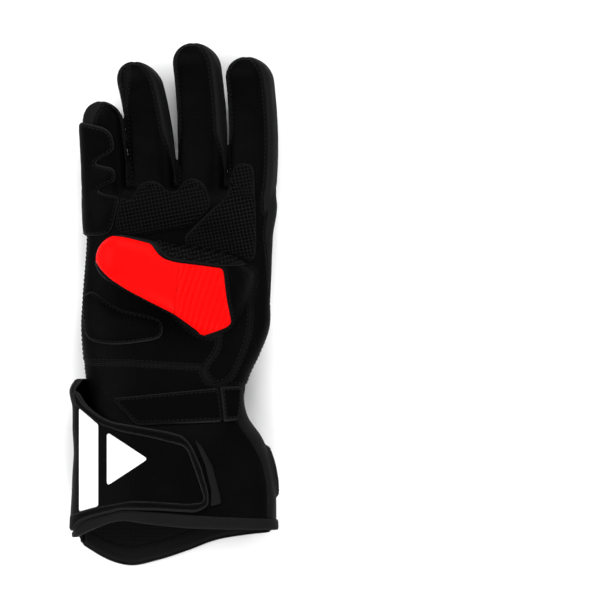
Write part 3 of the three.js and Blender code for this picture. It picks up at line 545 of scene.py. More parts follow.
def crisp(outline, radius, steps=5):
    """An outline with straight sides and arcs of one radius at its corners."""
    points = np.asarray(outline, float)
    found = []
    for before, here, after in zip(np.roll(points, 1, 0), points, np.roll(points, -1, 0)):
        to_before, to_after = before - here, after - here
        reach = min(radius, np.linalg.norm(to_before) / 2, np.linalg.norm(to_after) / 2)
        start = here + to_before / np.linalg.norm(to_before) * reach
        end = here + to_after / np.linalg.norm(to_after) * reach
        for t in np.linspace(0, 1, steps):
            found.append(start * (1 - t) ** 2 + 2 * here * t * (1 - t) + end * t * t)
    return np.array(found)


def hem(line, dy=0):
    """A function that is how far a place lies on the hand's side of a line across the glove."""
    xs, ys = np.array(line, float).T
    return lambda x, y, z: y - curve(x, xs, ys) - dy


def all_of(*lines):
    """Inside every one of the lines."""
    return lambda x, y, z: np.min([line(x, y, z) for line in lines], axis=0)


def any_of(*lines):
    """Inside at least one of the lines."""
    return lambda x, y, z: np.max([line(x, y, z) for line in lines], axis=0)


def other_side(line):
    return lambda x, y, z: -line(x, y, z)


def above(height):
    return lambda x, y, z: z - height


print("outline of the heel patch has", len(rounded(HEEL)), "points when rounded")

# %% [markdown]
# The whole skin now goes to the cutting table. The order matters, as it does in a pattern: the wrist seam
# first, then the cuff at its side seams and hems, then the thumb with the panel at its root, then the grey
# strips along the sides of the fingers. What is left above the side seams is the palm, and below it the back.

# %% Cut the cuff off the hand
WRIST_RISE = 4
CUFF_OVERLAP = 0.5


def wrist(x, y, z):
    """The wrist's seam: on the palm's side it follows its line, on the back it is straight."""
    on_palm = np.interp(x, *np.array(WRIST_LINE, float).T)
    upper_share = smooth_step(z, SIDE_SEAM_Z - WRIST_RISE, SIDE_SEAM_Z + WRIST_RISE)
    return y - (BACK_WRIST_Y + (on_palm - BACK_WRIST_Y) * upper_share)


hand_skin, cuff_skin = split(glove_skin, wrist)
cuff_top, cuff_bottom = split(cuff_skin, above(CUFF_SEAM_Z))
cuff_top = split(cuff_top, hem(NEAR_HEM))[0]
cuff_back = split(cuff_bottom, hem(FAR_HEM))[0]
cuff_side_line = any_of(
    all_of(inside(crisp(CUFF_SIDE, radius=4)), above(CUFF_SIDE_Z)),
    lambda x, y, z: np.minimum(CUFF_SIDE_Z + CUFF_OVERLAP - z, x - CUFF_SIDE_X),
)
cuff_side, cuff_palm = split(cuff_top, cuff_side_line)
print("cuff panels:", len(cuff_palm.triangles), len(cuff_side.triangles), len(cuff_back.triangles))

# %% Cut the thumb and its panel off the hand
THUMB_PANEL_Z = SIDE_SEAM_Z + 3
BACK_SHARE = 0.1
STRIP_SHARE = -0.35
STRIP_FROM_Y = 27
STRIP_TO_X = -9


def thumb_tube(x, y, z):
    """Where the thumb's form lies outside the hand's."""
    return np.minimum(hand_field(x, y, z) - thumb_field(x, y, z), z - SIDE_SEAM_Z)


thumb_panel = all_of(inside(rounded(THUMB_SEAM)), above(THUMB_PANEL_Z))
thumb_skin, rest = split(hand_skin, any_of(thumb_panel, thumb_tube))


def thumb_height(share):
    """Above this share of the thumb's half depth."""
    def line(x, y, z):
        _, v, _, half_depth, _ = thumb_frame(x, y, z)
        return v - share * half_depth
    return line


def past_accordion(x, y, z):
    """How far a place lies towards the root from the last rib."""
    (x0, y0), (x1, y1) = ACCORDION_LINE
    run = math.hypot(x1 - x0, y1 - y0)
    return ((x - x0) * (y0 - y1) - (y - y0) * (x0 - x1)) / run


red_line = all_of(inside(crisp(THUMB_BACK, radius=2.5)), thumb_height(BACK_SHARE))
red_skin, black_skin = split(thumb_skin, red_line)
accordion_skin, thumb_back = split(red_skin, past_accordion)
thumb_side, thumb_palm = split(black_skin, all_of(
    thumb_height(STRIP_SHARE), lambda x, y, z: np.minimum(y - STRIP_FROM_Y, STRIP_TO_X - x)))
print("thumb panels:", [len(s.triangles) for s in (thumb_back, accordion_skin, thumb_side, thumb_palm)])

# %% Cut the side strips off the fingers
NAMES = list(FINGERS)
# Beside a web a strip's upper edge climbs from share at y start to its place at y full
STRIP_END = dict(start=66, full=106, share=-0.35)
STRIP_REACH = 1.3
TIP_LEAST = 0.37
LITTLE_TIP_Z = 22
LITTLE_SIDE_X = -46
INDEX_SIDE_X = 49


def side_strip(name, side, by_web=True, share=SIDE_SHARE):
    """The strip along one side of a finger, between its two faces. Beside a web it narrows to a point."""
    row = FINGERS[name]
    tip_y = row[3]

    def line(x, y, z):
        u, v, half_width, half_depth = finger_frame(row, x, y, z)
        left = np.clip(tip_y - y, 0, TIP_RADIUS) / TIP_RADIUS
        shrink = np.maximum(np.sqrt(np.clip(1 - (1 - left) ** 2, 0, 1)), TIP_LEAST)
        reach = half_width + STRIP_REACH
        part = smooth_step(y, STRIP_END["start"], STRIP_END["full"])
        upper_share = STRIP_END["share"] + (share - STRIP_END["share"]) * part if by_web else share
        return np.min([upper_share * half_depth * shrink - v, SIDE_SHARE * half_depth * shrink + v,
                       side * u, reach - side * u, y - FINGER_START_Y + 0 * u], axis=0)
    return line


WEB = dict(top=82, bottom=61, low=7.5, high=19.5, clear=3)


def web(k):
    """The floor of the crotch between two neighbouring fingers."""
    x0 = FINGERS[NAMES[k]][0] + WEB["clear"]
    x1 = FINGERS[NAMES[k + 1]][0] - WEB["clear"]
    return lambda x, y, z: np.min([x - x0, x1 - x, y - WEB["bottom"], WEB["top"] - y,
                                   z - WEB["low"], WEB["high"] - z], axis=0)


def from_side(outline, beyond):
    """A zone whose outline lists y and z, on one outer side of the hand."""
    flat = inside(rounded(outline))
    return lambda x, y, z: np.minimum(flat(y, z), beyond(x))


side_lines = dict(
    side_panel_little=any_of(side_strip("little", -1, by_web=False),
                             all_of(inside(rounded(LITTLE_TIP, times=1)), above(LITTLE_TIP_Z)),
                             from_side(SIDE_LEFT, lambda x: LITTLE_SIDE_X - x)),
    side_panel_index=any_of(side_strip("index", 1, by_web=False),
                            from_side(SIDE_RIGHT, lambda x: x - INDEX_SIDE_X)),
    fourchette_little_ring=any_of(side_strip("little", 1, share=NARROW_SHARE), side_strip("ring", -1), web(0)),
    fourchette_ring_middle=any_of(side_strip("ring", 1), side_strip("middle", -1), web(1)),
    fourchette_middle_index=any_of(side_strip("middle", 1), side_strip("index", -1), web(2)),
)
panels = {}
for name, line in side_lines.items():
    panels[name], rest = split(rest, line)
    print(name, len(panels[name].triangles), "triangles")


FINGERS_FROM_Y = (45, 62)


def palm_side(x, y, z):
    """Above the middle of the side seams, or of the nearest finger."""
    tips = np.array([FINGERS[name][3] for name in NAMES])
    nearest = np.argmin([np.abs(x - FINGERS[name][1]) for name in NAMES], axis=0)
    along = np.maximum(0, (y - KNUCKLE_Y) / (tips[nearest] - KNUCKLE_Y))
    middle = FINGER_BASE_Z + FINGER_LIFT * along**2
    return z - (SIDE_SEAM_Z + (middle - SIDE_SEAM_Z) * smooth_step(y, *FINGERS_FROM_Y))


panels["palm_trank"], panels["back_trank"] = split(rest, palm_side)
panels.update(cuff_palm=cuff_palm, cuff_side=cuff_side, cuff_back=cuff_back, thumb_back=thumb_back,
              thumb_accordion=accordion_skin, thumb_side=thumb_side, thumb_palm=thumb_palm)
print("palm", len(panels["palm_trank"].triangles), "back", len(panels["back_trank"].triangles))

# %% [markdown]
# A cut panel is a sheet without thickness. Sewing turns its edge down into the seam, so the face of the panel
# is highest a few millimetres away from the seam and dips at it. For that the script needs to know how far
# each vertex is from the panel's own edge. A k-d tree finds the nearest corner on the edge, and the distance
# to the two edges that meet there is exact.

# %% Edges of a panel
def edges_of(skin):
    """The open edges of a skin, in the direction of their triangle."""
    sides = skin.sides()
    _, place, count = np.unique(np.sort(sides, axis=1), axis=0, return_inverse=True, return_counts=True)
    return sides[count[place.ravel()] == 1]


def depth_of(skin, limit=60.0):
    """How far each vertex lies from the nearest open edge of the skin."""
    edges = edges_of(skin)
    corners = np.unique(edges)
    if len(corners) == 0:
        return np.full(len(skin.points), limit)
    tree = kdtree.KDTree(len(corners))
    for k, point in enumerate(skin.points[corners]):
        tree.insert(point, k)
    tree.balance()
    nearest = np.array([tree.find(p)[1] for p in skin.points])
    corner = corners[nearest]
    here = skin.points[corner]
    best = np.linalg.norm(skin.points - here, axis=1)
    for column in (0, 1):
        other = np.full(len(skin.points), -1)
        other[edges[:, column]] = edges[:, 1 - column]
        there = other[corner]
        has = there >= 0
        along = skin.points[np.where(has, there, corner)] - here
        size = np.maximum((along**2).sum(1), 1e-12)
        t = np.clip(((skin.points - here) * along).sum(1) / size, 0, 1)
        reach = np.linalg.norm(skin.points - here - along * t[:, None], axis=1)
        best = np.where(has, np.minimum(best, reach), best)
    best[corners] = 0
    return np.minimum(best, limit)


# %% Wrinkles
SEED_SHIFT = (7.31, 3.17, 5.73)


def crumple(points, size, seed):
    """Soft bumps of a given size in millimetres, from -1 to 1, the same on each run."""
    shift = Vector([seed * step for step in SEED_SHIFT])
    return np.array([noise.noise(Vector(p) / size + shift) for p in points])


# %% Thick pieces
SHARP_FROM = math.radians(55)


def mesh_of(name, points, triangles, material, marks=None):
    """A Blender object from arrays in millimetres."""
    mesh = bpy.data.meshes.new(name)
    mesh.vertices.add(len(points))
    mesh.vertices.foreach_set("co", (np.asarray(points) * MM).astype(np.float32).ravel())
    mesh.loops.add(3 * len(triangles))
    mesh.loops.foreach_set("vertex_index", np.asarray(triangles, np.int32).ravel())
    mesh.polygons.add(len(triangles))
    mesh.polygons.foreach_set("loop_start", np.arange(0, 3 * len(triangles), 3, dtype=np.int32))
    mesh.polygons.foreach_set("use_smooth", np.ones(len(triangles), bool))
    mesh.materials.append(material)
    for key, values in (marks or {}).items():
        mesh.attributes.new(key, "FLOAT", "POINT").data.foreach_set("value", values.astype(np.float32))
    mesh.update(calc_edges=True)
    mesh.validate()
    mesh.set_sharp_from_angle(angle=SHARP_FROM)
    made = bpy.data.objects.new(name, mesh)
    bpy.context.scene.collection.objects.link(made)
    return made


def thick(skin, outer, inner):
    """Points and triangles of a closed sheet: its outer face, its inner face and the rim between them."""
    count = len(skin.points)
    top = skin.points + skin.normals * outer[:, None]
    low = skin.points + skin.normals * inner[:, None]
    a, b = edges_of(skin).T
    rim = np.vstack([np.column_stack([b, a, a + count]), np.column_stack([b, a + count, b + count])])
    triangles = np.vstack([skin.triangles, skin.triangles[:, ::-1] + count, rim])
    return np.vstack([top, low]), triangles


def keep_apart(skin, by=GAP / 2):
    """The skin with its edge drawn in a little, so that two panels don't share a seam."""
    edges = edges_of(skin)
    on_edge = np.zeros(len(skin.points), bool)
    on_edge[edges.ravel()] = True
    centres = skin.points[skin.triangles].mean(1)
    pull = np.zeros_like(skin.points)
    for column in range(3):
        corner = skin.triangles[:, column]
        np.add.at(pull, corner, centres - skin.points[corner])
    points = skin.points + np.where(on_edge[:, None], unit(pull) * by, 0)
    return Skin(points, skin.triangles, skin.normals)


def both(*bodies):
    """Points and triangles of several bodies in one mesh."""
    starts = np.cumsum([0, *[len(points) for points, _ in bodies[:-1]]])
    return np.vstack([p for p, _ in bodies]), np.vstack([t + start for (_, t), start in zip(bodies, starts)])


# %% [markdown]
# Whatever its form, each piece ends the same way: a closed sheet, a mark that says how near each point is to
# the cut edge, a finish, and the names that tie it to the solids. One function does that, so the cells that
# follow only work out how high a piece stands over the skin.

# %% Pieces of the glove
FADE = dict(panel=0.7, fold=0.6, patch=0.4)  # how far the wear of a cut edge reaches
stitch_rows = []


def finished(made, nodes):
    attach(made, "root")
    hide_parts(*nodes)
    return made


def sewn(name, slot, skin, depth, outer, inner, fade, worn=1.0, stitches=0.0, ridge=None, roll=None):
    """A finished piece: a closed sheet whose cut edge is marked as worn, with a row of stitches or a roll."""
    body = thick(skin, outer, inner)
    marks = dict(edge=np.tile(worn * np.exp(-depth / fade), 2))
    if ridge is not None:
        marks["ridge"] = np.tile(ridge, 2)
    if roll is not None:
        body = both(body, roll)
        marks["edge"] = np.concatenate([marks["edge"], np.zeros(len(roll[0]))])
    made = mesh_of(name, *body, finishes[slot], marks)
    if stitches:
        stitch_rows.append((skin, depth, outer, stitches))
    print(name, len(body[1]), "triangles")
    return finished(made, [name])


# %% A leather panel
PANEL_WORN = 0.3
DIP_REACH = 1.3
PUFF_REACH = 5
CALM_REACH = 6
WRINKLE_HEIGHT = 0.18
BROAD_WRINKLE = 14
FINE_WRINKLE = 4.5
ALONG_FINGERS = (1, 0.45, 1)


def panel(name, skin, slot, wall, sink, puff, seed, stitches):
    """A leather panel: dipped at its seams, softly wrinkled, with its thickness inwards."""
    skin = keep_apart(skin)
    depth = depth_of(skin)
    outer = -sink * np.exp(-((depth / DIP_REACH) ** 2)) + puff * (1 - np.exp(-depth / PUFF_REACH))
    calm = smooth_step(depth, 0, CALM_REACH)
    outer += calm * WRINKLE_HEIGHT * crumple(skin.points, BROAD_WRINKLE, seed)
    outer += calm * WRINKLE_HEIGHT * 0.5 * crumple(skin.points * ALONG_FINGERS, FINE_WRINKLE, seed + 9)
    inner = np.full(len(depth), -wall)
    return sewn(name, slot, skin, depth, outer, inner, FADE["panel"], PANEL_WORN, stitches)


# %% [markdown]
# Every finish is made from nodes. To keep that readable, a number that varies over the surface is wrapped in a
# small class, so that 1 - mask or height * 0.5 adds its Math node by itself. Everything else comes from one
# method that takes a node's type, its settings and the values of its sockets.

# %% Shader numbers
class Number:
    """A number that varies over the surface. Arithmetic on it adds Math nodes."""

    def __init__(self, finish, socket):
        self.finish, self.socket = finish, socket

    def _math(self, operation, first, second):
        return self.finish.number("ShaderNodeMath", dict(operation=operation), {0: first, 1: second})

    def __add__(self, other):
        return self._math("ADD", self, other)

    def __sub__(self, other):
        return self._math("SUBTRACT", self, other)

    def __rsub__(self, other):
        return self._math("SUBTRACT", other, self)

    def __mul__(self, other):
        return self._math("MULTIPLY", self, other)

    def __pow__(self, other):
        return self._math("POWER", self, other)

    def least(self, other):
        return self._math("MINIMUM", self, other)

    def most(self, other):
        return self._math("MAXIMUM", self, other)

    def wave(self):
        """Up and down between -1 and 1, once in every two."""
        return self.finish.number("ShaderNodeMath", dict(operation="SINE"), {0: self * math.pi})

    __radd__ = __add__
    __rmul__ = __mul__


class Finish:
    """A material for one finish of the glove."""

    def __init__(self, name, **constants):
        self.material = bpy.data.materials.new(name)
        self.material.use_nodes = True
        self.tree = self.material.node_tree
        self.shader = self.tree.nodes["Principled BSDF"]
        for socket, value in constants.items():
            self.shader.inputs[socket.replace("_", " ")].default_value = value

    def node(self, kind, settings=None, sockets=None):
        made = self.tree.nodes.new(kind)
        for key, value in (settings or {}).items():
            setattr(made, key, value)
        for key, value in (sockets or {}).items():
            value = value.socket if isinstance(value, Number) else value
            if isinstance(value, bpy.types.NodeSocket):
                self.tree.links.new(value, made.inputs[key])
            else:
                made.inputs[key].default_value = value
        return made

    def number(self, kind, settings=None, sockets=None, output=0):
        return Number(self, self.node(kind, settings, sockets).outputs[output])

    def place(self):
        return self.node("ShaderNodeTexCoord").outputs["Object"]

    def turned(self, degrees, millimetres):
        """The place as two numbers, counted in steps of that size along axes turned about the upright one."""
        spun = self.node("ShaderNodeMapping", None, {
            "Vector": self.place(), "Rotation": (0, 0, math.radians(degrees)),
            "Scale": (1000 / millimetres,) * 3})
        parts = self.node("ShaderNodeSeparateXYZ", None, {0: spun.outputs[0]})
        return Number(self, parts.outputs[0]), Number(self, parts.outputs[1])

    def clouds(self, millimetres, detail=2.0):
        """Soft noise from 0 to 1 with patches of the given size."""
        return self.number("ShaderNodeTexNoise", None, {
            "Vector": self.place(), "Scale": 1000 / millimetres, "Detail": detail})

    def pebbles(self, millimetres):
        """Leather grain: 0 in the creases and rising towards the middle of each grain."""
        return self.number("ShaderNodeTexVoronoi", dict(feature="DISTANCE_TO_EDGE"), {
            "Vector": self.place(), "Scale": 1000 / millimetres})

    def mark(self, name):
        """A value that was stored at each point of the mesh."""
        return self.number("ShaderNodeAttribute", dict(attribute_name=name), output=2)

    def colour(self, first, *layers):
        """The base colour: each layer is a number and the colour that it lays over those before."""
        mixed = (*first, 1)
        for share, over in layers:
            mixed = self.node("ShaderNodeMix", dict(data_type="RGBA", clamp_factor=True), {
                0: share, 6: mixed, 7: (*over, 1)}).outputs[2]
        self.tree.links.new(mixed, self.shader.inputs["Base Color"])

    def roughness(self, share):
        self.tree.links.new(share.socket, self.shader.inputs["Roughness"])

    def relief(self, height, millimetres):
        """Light and shade as if the surface rose by so many millimetres."""
        bump = self.node("ShaderNodeBump", None, {
            "Height": height, "Distance": millimetres * MM, "Strength": 1.0})
        self.tree.links.new(bump.outputs[0], self.shader.inputs["Normal"])


# %% [markdown]
# Glove leather is dyed through and finished with a thin satin coat. What the eye reads as leather is the
# grain, small pebbles about a millimetre wide, a slow change of gloss where hands have polished it, and the
# lighter line where the leather was cut and the dye is thinner.

# %% Leather finishes
PEBBLE_SIZE = 1.1
GRAIN_DEPTH = 0.09
POLISH = 0.12


def leather(name, low, high, cut, grain=1.0, rough=0.5):
    """Dyed leather: mottled between two colours, grained, polished in places and worn along its cut edge."""
    finish = Finish(name, Specular_IOR_Level=0.02)
    mottle = (finish.clouds(26, detail=3) - 0.3) * 1.7
    edge = finish.mark("edge")
    finish.colour(low, (mottle, high), (edge, cut))
    finish.roughness(finish.clouds(9, detail=4) * POLISH + (rough - POLISH / 2) + edge * 0.15)
    pebble = (finish.pebbles(PEBBLE_SIZE) * 3).least(1)
    finish.relief(pebble * 0.7 + finish.clouds(0.5) * 0.3, GRAIN_DEPTH * grain)
    return finish.material


# Each leather's darker and lighter colour and the colour of its cut edge
BLACK = dict(low=(0.0005, 0.0005, 0.0006), high=(0.0013, 0.0013, 0.0014), cut=(0.016, 0.016, 0.0165))
GREY = dict(low=(0.006, 0.006, 0.0061), high=(0.0078, 0.0078, 0.008), cut=(0.0105, 0.0105, 0.0105))
RED = dict(low=(0.86, 0.002, 0.002), high=(1.0, 0.0035, 0.003), cut=(0.6, 0.003, 0.003))
WHITE = dict(low=(0.82, 0.82, 0.81), high=(0.9, 0.9, 0.89), cut=(0.6, 0.6, 0.58))
finishes = dict(
    black_leather=leather("black_leather", **BLACK),
    grey_leather=leather("grey_leather", **GREY, rough=0.58),
    red_leather=leather("red_leather", **RED, grain=0.6, rough=0.45),
    white_leather=leather("white_leather", **WHITE, grain=0.5, rough=0.45),
)

# %% [markdown]
# The grip patches are leather that was stamped with a small square grid while it was damp, which leaves fine
# raised lines. The lines are real relief in the mesh, and the finish only adds that they are worn lighter.

# %% Grip, webbing, lining and thread
def stamped():
    """Leather with raised lines that are worn lighter."""
    finish = Finish("grip", Specular_IOR_Level=0.02)
    ridge = finish.mark("ridge")
    finish.colour((0.0005, 0.0005, 0.0006), (ridge.most(finish.mark("edge")), (0.0095, 0.0095, 0.0095)))
    finish.roughness(ridge * -0.1 + 0.6 + finish.clouds(7, detail=3) * 0.1)
    finish.relief(finish.clouds(0.6, detail=3), 0.08)
    return finish.material


def woven(name, low, high, cut, millimetres, degrees):
    """Plain weave of flat yarns, lighter at its cut edge."""
    finish = Finish(name, Specular_IOR_Level=0.02)
    across, along = finish.turned(degrees, millimetres)
    rise = across.wave() * along.wave() * 0.5 + 0.5
    finish.colour(low, (rise, high), (finish.mark("edge"), cut))
    finish.roughness(rise * 0.15 + 0.65)
    finish.relief(rise, 0.03)
    return finish.material


LOOP_WIDTH = 1.6


def knitted():
    """The inside of the cuff: small upright loops in rows."""
    finish = Finish("lining", Specular_IOR_Level=0.03)
    across, along = finish.turned(0, LOOP_WIDTH)
    loops = (across.wave() * across.wave()) * 0.6 + ((along * 0.7 + across.wave() * 0.25).wave() ** 2) * 0.4
    finish.colour((0.003, 0.003, 0.003), (loops, (0.0085, 0.0085, 0.0085)))
    finish.roughness(loops * 0.1 + 0.8)
    finish.relief(loops, 0.18)
    return finish.material


def thread(name, low, high):
    """Twisted thread with a soft change of tone."""
    finish = Finish(name, Specular_IOR_Level=0.05)
    finish.colour(low, (finish.clouds(3), high))
    finish.roughness(finish.clouds(0.4) * 0.2 + 0.5)
    finish.relief(finish.clouds(0.25), 0.05)
    return finish.material


finishes.update(
    grip=stamped(),
    webbing=woven("webbing", (0.0005, 0.0005, 0.0005), (0.0011, 0.0011, 0.0011), (0.017, 0.017, 0.017),
                  millimetres=1.1, degrees=0),
    lining=knitted(),
)
grey_thread = thread("grey_thread", (0.0035, 0.0035, 0.0036), (0.006, 0.006, 0.0062))
print("finishes:", ", ".join(finishes))

# %% [markdown]
# Now the panels can be made. The wall's thickness goes inwards, so the seams stay where they were cut. The red
# panel on the back of the thumb is a little fuller than the others, because it is lined with foam.

# %% Leather panels
GREY_PANELS = ("thumb_side", "cuff_side", "side_panel", "fourchette")
THIN_PANELS = ("thumb", "side_panel", "fourchette")
SIDE_STRIPS = ("side_panel", "fourchette")
SEAM_SINK = 0.55
STRIP_SINK = 0.3
THUMB_PUFF = 0.35
PANEL_STITCHES = 1.7
for seed, (name, skin) in enumerate(panels.items(), 2):
    if name == "thumb_accordion":
        continue
    slot = "grey_leather" if name.startswith(GREY_PANELS) else "black_leather"
    if name == "thumb_back":
        slot = "red_leather"
    panel(name, skin, slot, FINGER_LEATHER if name.startswith(THIN_PANELS) else LEATHER,
          sink=STRIP_SINK if name.startswith(SIDE_STRIPS) else SEAM_SINK,
          puff=THUMB_PUFF if name == "thumb_back" else 0.0,
          seed=seed, stitches=PANEL_STITCHES if slot == "black_leather" else 0)

# %% [markdown]
# The accordion at the thumb's root is red leather gathered into narrow ribs by elastic thread underneath, so
# that the thumb can bend. Each rib is a fold in the mesh. The panel's triangles are cut into four twice first,
# because three vertices across a rib would make it angular.

# %% Accordion
RIB_LEAN = math.radians(18.5)
RIB_FROM = (0.5, 5.3)
RIB_ROUND = 0.8
RIB_MIDDLE = 0.45
RIB_CALM = 2.6
RIB_SINK = 0.5
RIB_DIP_REACH = 1.2
RIB_WRINKLE = 0.15


def finer(skin, field):
    """Each triangle in four, with the new vertices moved onto the field's surface."""
    keys, place = np.unique(np.sort(skin.sides(), axis=1), axis=0, return_inverse=True)
    middle = skin.points[keys].mean(1)
    normals = unit(skin.normals[keys].sum(1))
    middle = middle - normals * field(*middle.T)[:, None]
    a, b, c = skin.triangles.T
    ab, bc, ca = np.split(place.ravel() + len(skin.points), 3)
    triangles = np.vstack([np.column_stack(t) for t in ((a, ab, ca), (ab, b, bc), (ca, bc, c), (ab, bc, ca))])
    return Skin(np.vstack([skin.points, middle]), triangles, np.vstack([skin.normals, normals]))


def accordion(name, skin):
    """The ribs, which fade out towards the panel's edge."""
    skin = keep_apart(skin)
    for _ in range(2):
        skin = finer(skin, glove_field)
    depth = depth_of(skin)
    x, y = skin.points[:, 0] - RIB_FROM[0], skin.points[:, 1] - RIB_FROM[1]
    phase = (x * math.cos(RIB_LEAN) - y * math.sin(RIB_LEAN)) / RIB_PITCH
    rib = np.abs(np.sin(np.pi * phase)) ** RIB_ROUND
    calm = smooth_step(depth, 0, RIB_CALM)
    outer = -RIB_SINK * np.exp(-((depth / RIB_DIP_REACH) ** 2)) + calm * (RIB_HEIGHT * (rib - RIB_MIDDLE))
    outer += calm * RIB_WRINKLE * crumple(skin.points, size=9, seed=31)
    print("the accordion has", round(phase.max()), "ribs")
    inner = np.full(len(depth), -FINGER_LEATHER)
    return sewn(name, "red_leather", skin, depth, outer, inner, FADE["fold"])


accordion("thumb_accordion", panels["thumb_accordion"])

# %% [markdown]
# Patches are cut from a second sheet and sewn on top. A patch is a copy of the outer surface, lifted a little,
# with a round edge: nearly its full thickness a millimetre from the edge and a third of it at the edge.

# %% Patches on the palm
THUMB_CLEAR = 2.2
EDGE_LOSS = 0.65
CROWN_REACH = 4.0
RIDGE_HEIGHT = 0.22
RIDGE_END = (0.3, 0.8)
PATCH_WRINKLE = 0.1
UNDER_SHARE = 0.4
PATCH_CELL = 0.75


def clear_of_thumb(x, y, z):
    return thumb_field(x, y, z) - THUMB_CLEAR


def patch(name, skin, slot, height, crown=0.0, round_edge=0.8, seed=1, stitches=0.0, lift=GAP, ridges=None):
    """A patch on the leather: round at its edge, perhaps fuller in the middle or with raised lines."""
    depth = depth_of(skin)
    outer = lift + height * (1 - EDGE_LOSS * np.exp(-((depth / round_edge) ** 2)))
    outer += crown * (1 - np.exp(-((depth / CROWN_REACH) ** 2)))
    outer += smooth_step(depth, 0, CROWN_REACH) * PATCH_WRINKLE * crumple(skin.points, size=8, seed=seed)
    raised = None
    if ridges is not None:
        raised = ridges(*skin.points.T) * smooth_step(depth, *RIDGE_END)
        outer += RIDGE_HEIGHT * raised
    under = np.full(len(depth), lift * UNDER_SHARE)
    return sewn(name, slot, skin, depth, outer, under, FADE["patch"], stitches=stitches, ridge=raised)


def upper(field, line, low, high, cell=PATCH_CELL):
    """The part of a field's surface inside a line, looked for in a box from low to high."""
    return split(net(field, low, high, cell), line)[0]


heel_skin = upper(hand_field, all_of(inside(rounded(HEEL)), above(height=19), clear_of_thumb),
                  low=(-62, -30, 12), high=(0, 14, 46))
heel = patch("heel_patch", heel_skin, "black_leather", PATCH, crown=0.9, seed=41, stitches=1.5)
guard_skin = upper(hand_field, all_of(inside(rounded(GUARD)), above(height=9)),
                   low=(-66, 36, 3), high=(-28, 114, 40))
guard = patch("little_finger_guard", guard_skin, "black_leather", STRAP, crown=0.4, seed=42, stitches=1.6)

# %% Grip patches
GRID_TURN = math.radians(11)
RIDGE_STEPS = (0, 0.04, 0.1, 0.5, 0.9, 0.96)
RIDGE_SLOPE = (0.02, 0.1)
SHEET_TOP = 60.0
SHEET_STEPS = 30


def grid_place(x, y):
    c, s = math.cos(GRID_TURN), math.sin(GRID_TURN)
    return (x * c + y * s) / GRID_PITCH, (y * c - x * s) / GRID_PITCH


def grid_ridges(x, y, z):
    """1 on a raised line and 0 on the squares between."""
    far = [np.abs(p - np.round(p)) for p in grid_place(x, y)]
    return 1 - smooth_step(np.minimum(*far), *RIDGE_SLOPE)


def stamped_sheet(field, outline):
    """A sheet over the field's upper side whose mesh lines run along the ridges."""
    across, along = grid_place(*np.asarray(outline, float).T)
    lines = []
    for shares in (across, along):
        whole = np.arange(math.floor(shares.min()) - 1, math.ceil(shares.max()) + 1)
        lines.append((whole[:, None] + np.array(RIDGE_STEPS)).ravel())
    p, q = np.meshgrid(*lines, indexing="ij")
    c, s = math.cos(GRID_TURN), math.sin(GRID_TURN)
    x, y = (p * c - q * s).ravel() * GRID_PITCH, (p * s + q * c).ravel() * GRID_PITCH
    near = inside(outline)(x, y) > -2 * GRID_PITCH
    z = np.full(len(x), SHEET_TOP)
    for _ in range(SHEET_STEPS):
        z[near] -= np.clip(field(x[near], y[near], z[near]), -1, 8)
    points = np.column_stack([x, y, z])
    number = np.arange(len(x)).reshape(p.shape)
    a, b, c, d = number[:-1, :-1], number[1:, :-1], number[1:, 1:], number[:-1, 1:]
    triangles = np.vstack([np.column_stack([k.ravel() for k in t]) for t in ((a, b, c), (a, c, d))])
    triangles = triangles[near[triangles].all(1)]
    slope = np.tile([0.0, 0.0, 1.0], (len(x), 1))
    slope[near] = slope_of(field, points[near], NORMAL_REACH)
    return used_only(Skin(points, triangles, unit(slope)), triangles)


grips = dict(grip_patch_fingers=GRIP_FINGERS, grip_patch_index=GRIP_INDEX)
for seed, (name, outline) in enumerate(grips.items(), 51):
    outline = rounded(outline)
    sheet = split(stamped_sheet(hand_field, outline), all_of(inside(outline), clear_of_thumb))[0]
    patch(name, sheet, "grip", PATCH, seed=seed, ridges=grid_ridges)


def clear_of_hand(x, y, z):
    return hand_field(x, y, z) - GAP


thumb_grip = upper(thumb_field, all_of(inside(rounded(THUMB_GRIP, times=1)), above(height=34), clear_of_hand),
                   low=(-16, 16, 30), high=(50, 42, 62), cell=0.55)
patch("grip_patch_thumb", thumb_grip, "grip", PATCH, seed=53, ridges=grid_ridges)

# %% [markdown]
# The strap pulls the wrist tight. It is flat coated webbing with square edges, so its edge is hardly rounded.
# The keeper at its end is a little thicker and holds it down. The flap's grey tab and the raised pad on the
# side of the cuff are patches too, on the same form.

# %% Strap, keeper, tab and the cuff's pad
WRIST_BOX = dict(low=(-42, -76, 14), high=(50, -44, 52))
strap_line = all_of(inside(crisp(STRAP_OUTLINE, radius=3)), above(SIDE_SEAM_Z))
strap_skin = upper(trunk_field, strap_line, **WRIST_BOX)
patch("wrist_strap", strap_skin, "webbing", STRAP, round_edge=0.4, seed=61, stitches=1.8)
keeper_skin = upper(trunk_field, all_of(inside(crisp(KEEPER, radius=1.2)), above(height=20)), **WRIST_BOX)
patch("strap_keeper", keeper_skin, "webbing", KEEPER_HEIGHT, round_edge=0.5, seed=62, stitches=1.4)
tab_skin = upper(trunk_field, all_of(inside(crisp(TAB, radius=1)), above(SIDE_SEAM_Z)),
                 low=(6, -126, 36), high=(34, -76, 60), cell=0.7)
patch("flap_tab", tab_skin, "grey_leather", STRAP, round_edge=0.6, seed=63)
pad_skin = upper(trunk_field, from_side(CUFF_GUARD, lambda x: x - CUFF_SIDE_X),
                 low=(36, -122, 0), high=(68, -78, 34))
cuff_guard = patch("cuff_guard", pad_skin, "black_leather", CUFF_GUARD_HEIGHT,
                   crown=1.1, seed=64, stitches=1.6)

# %% [markdown]
# The closing flap is a stiff piece of leather on its own form, which stands clear of the wrist at its upper
# end. A border band runs round it. The white stripe and the white triangle are thin leather shapes sewn on.

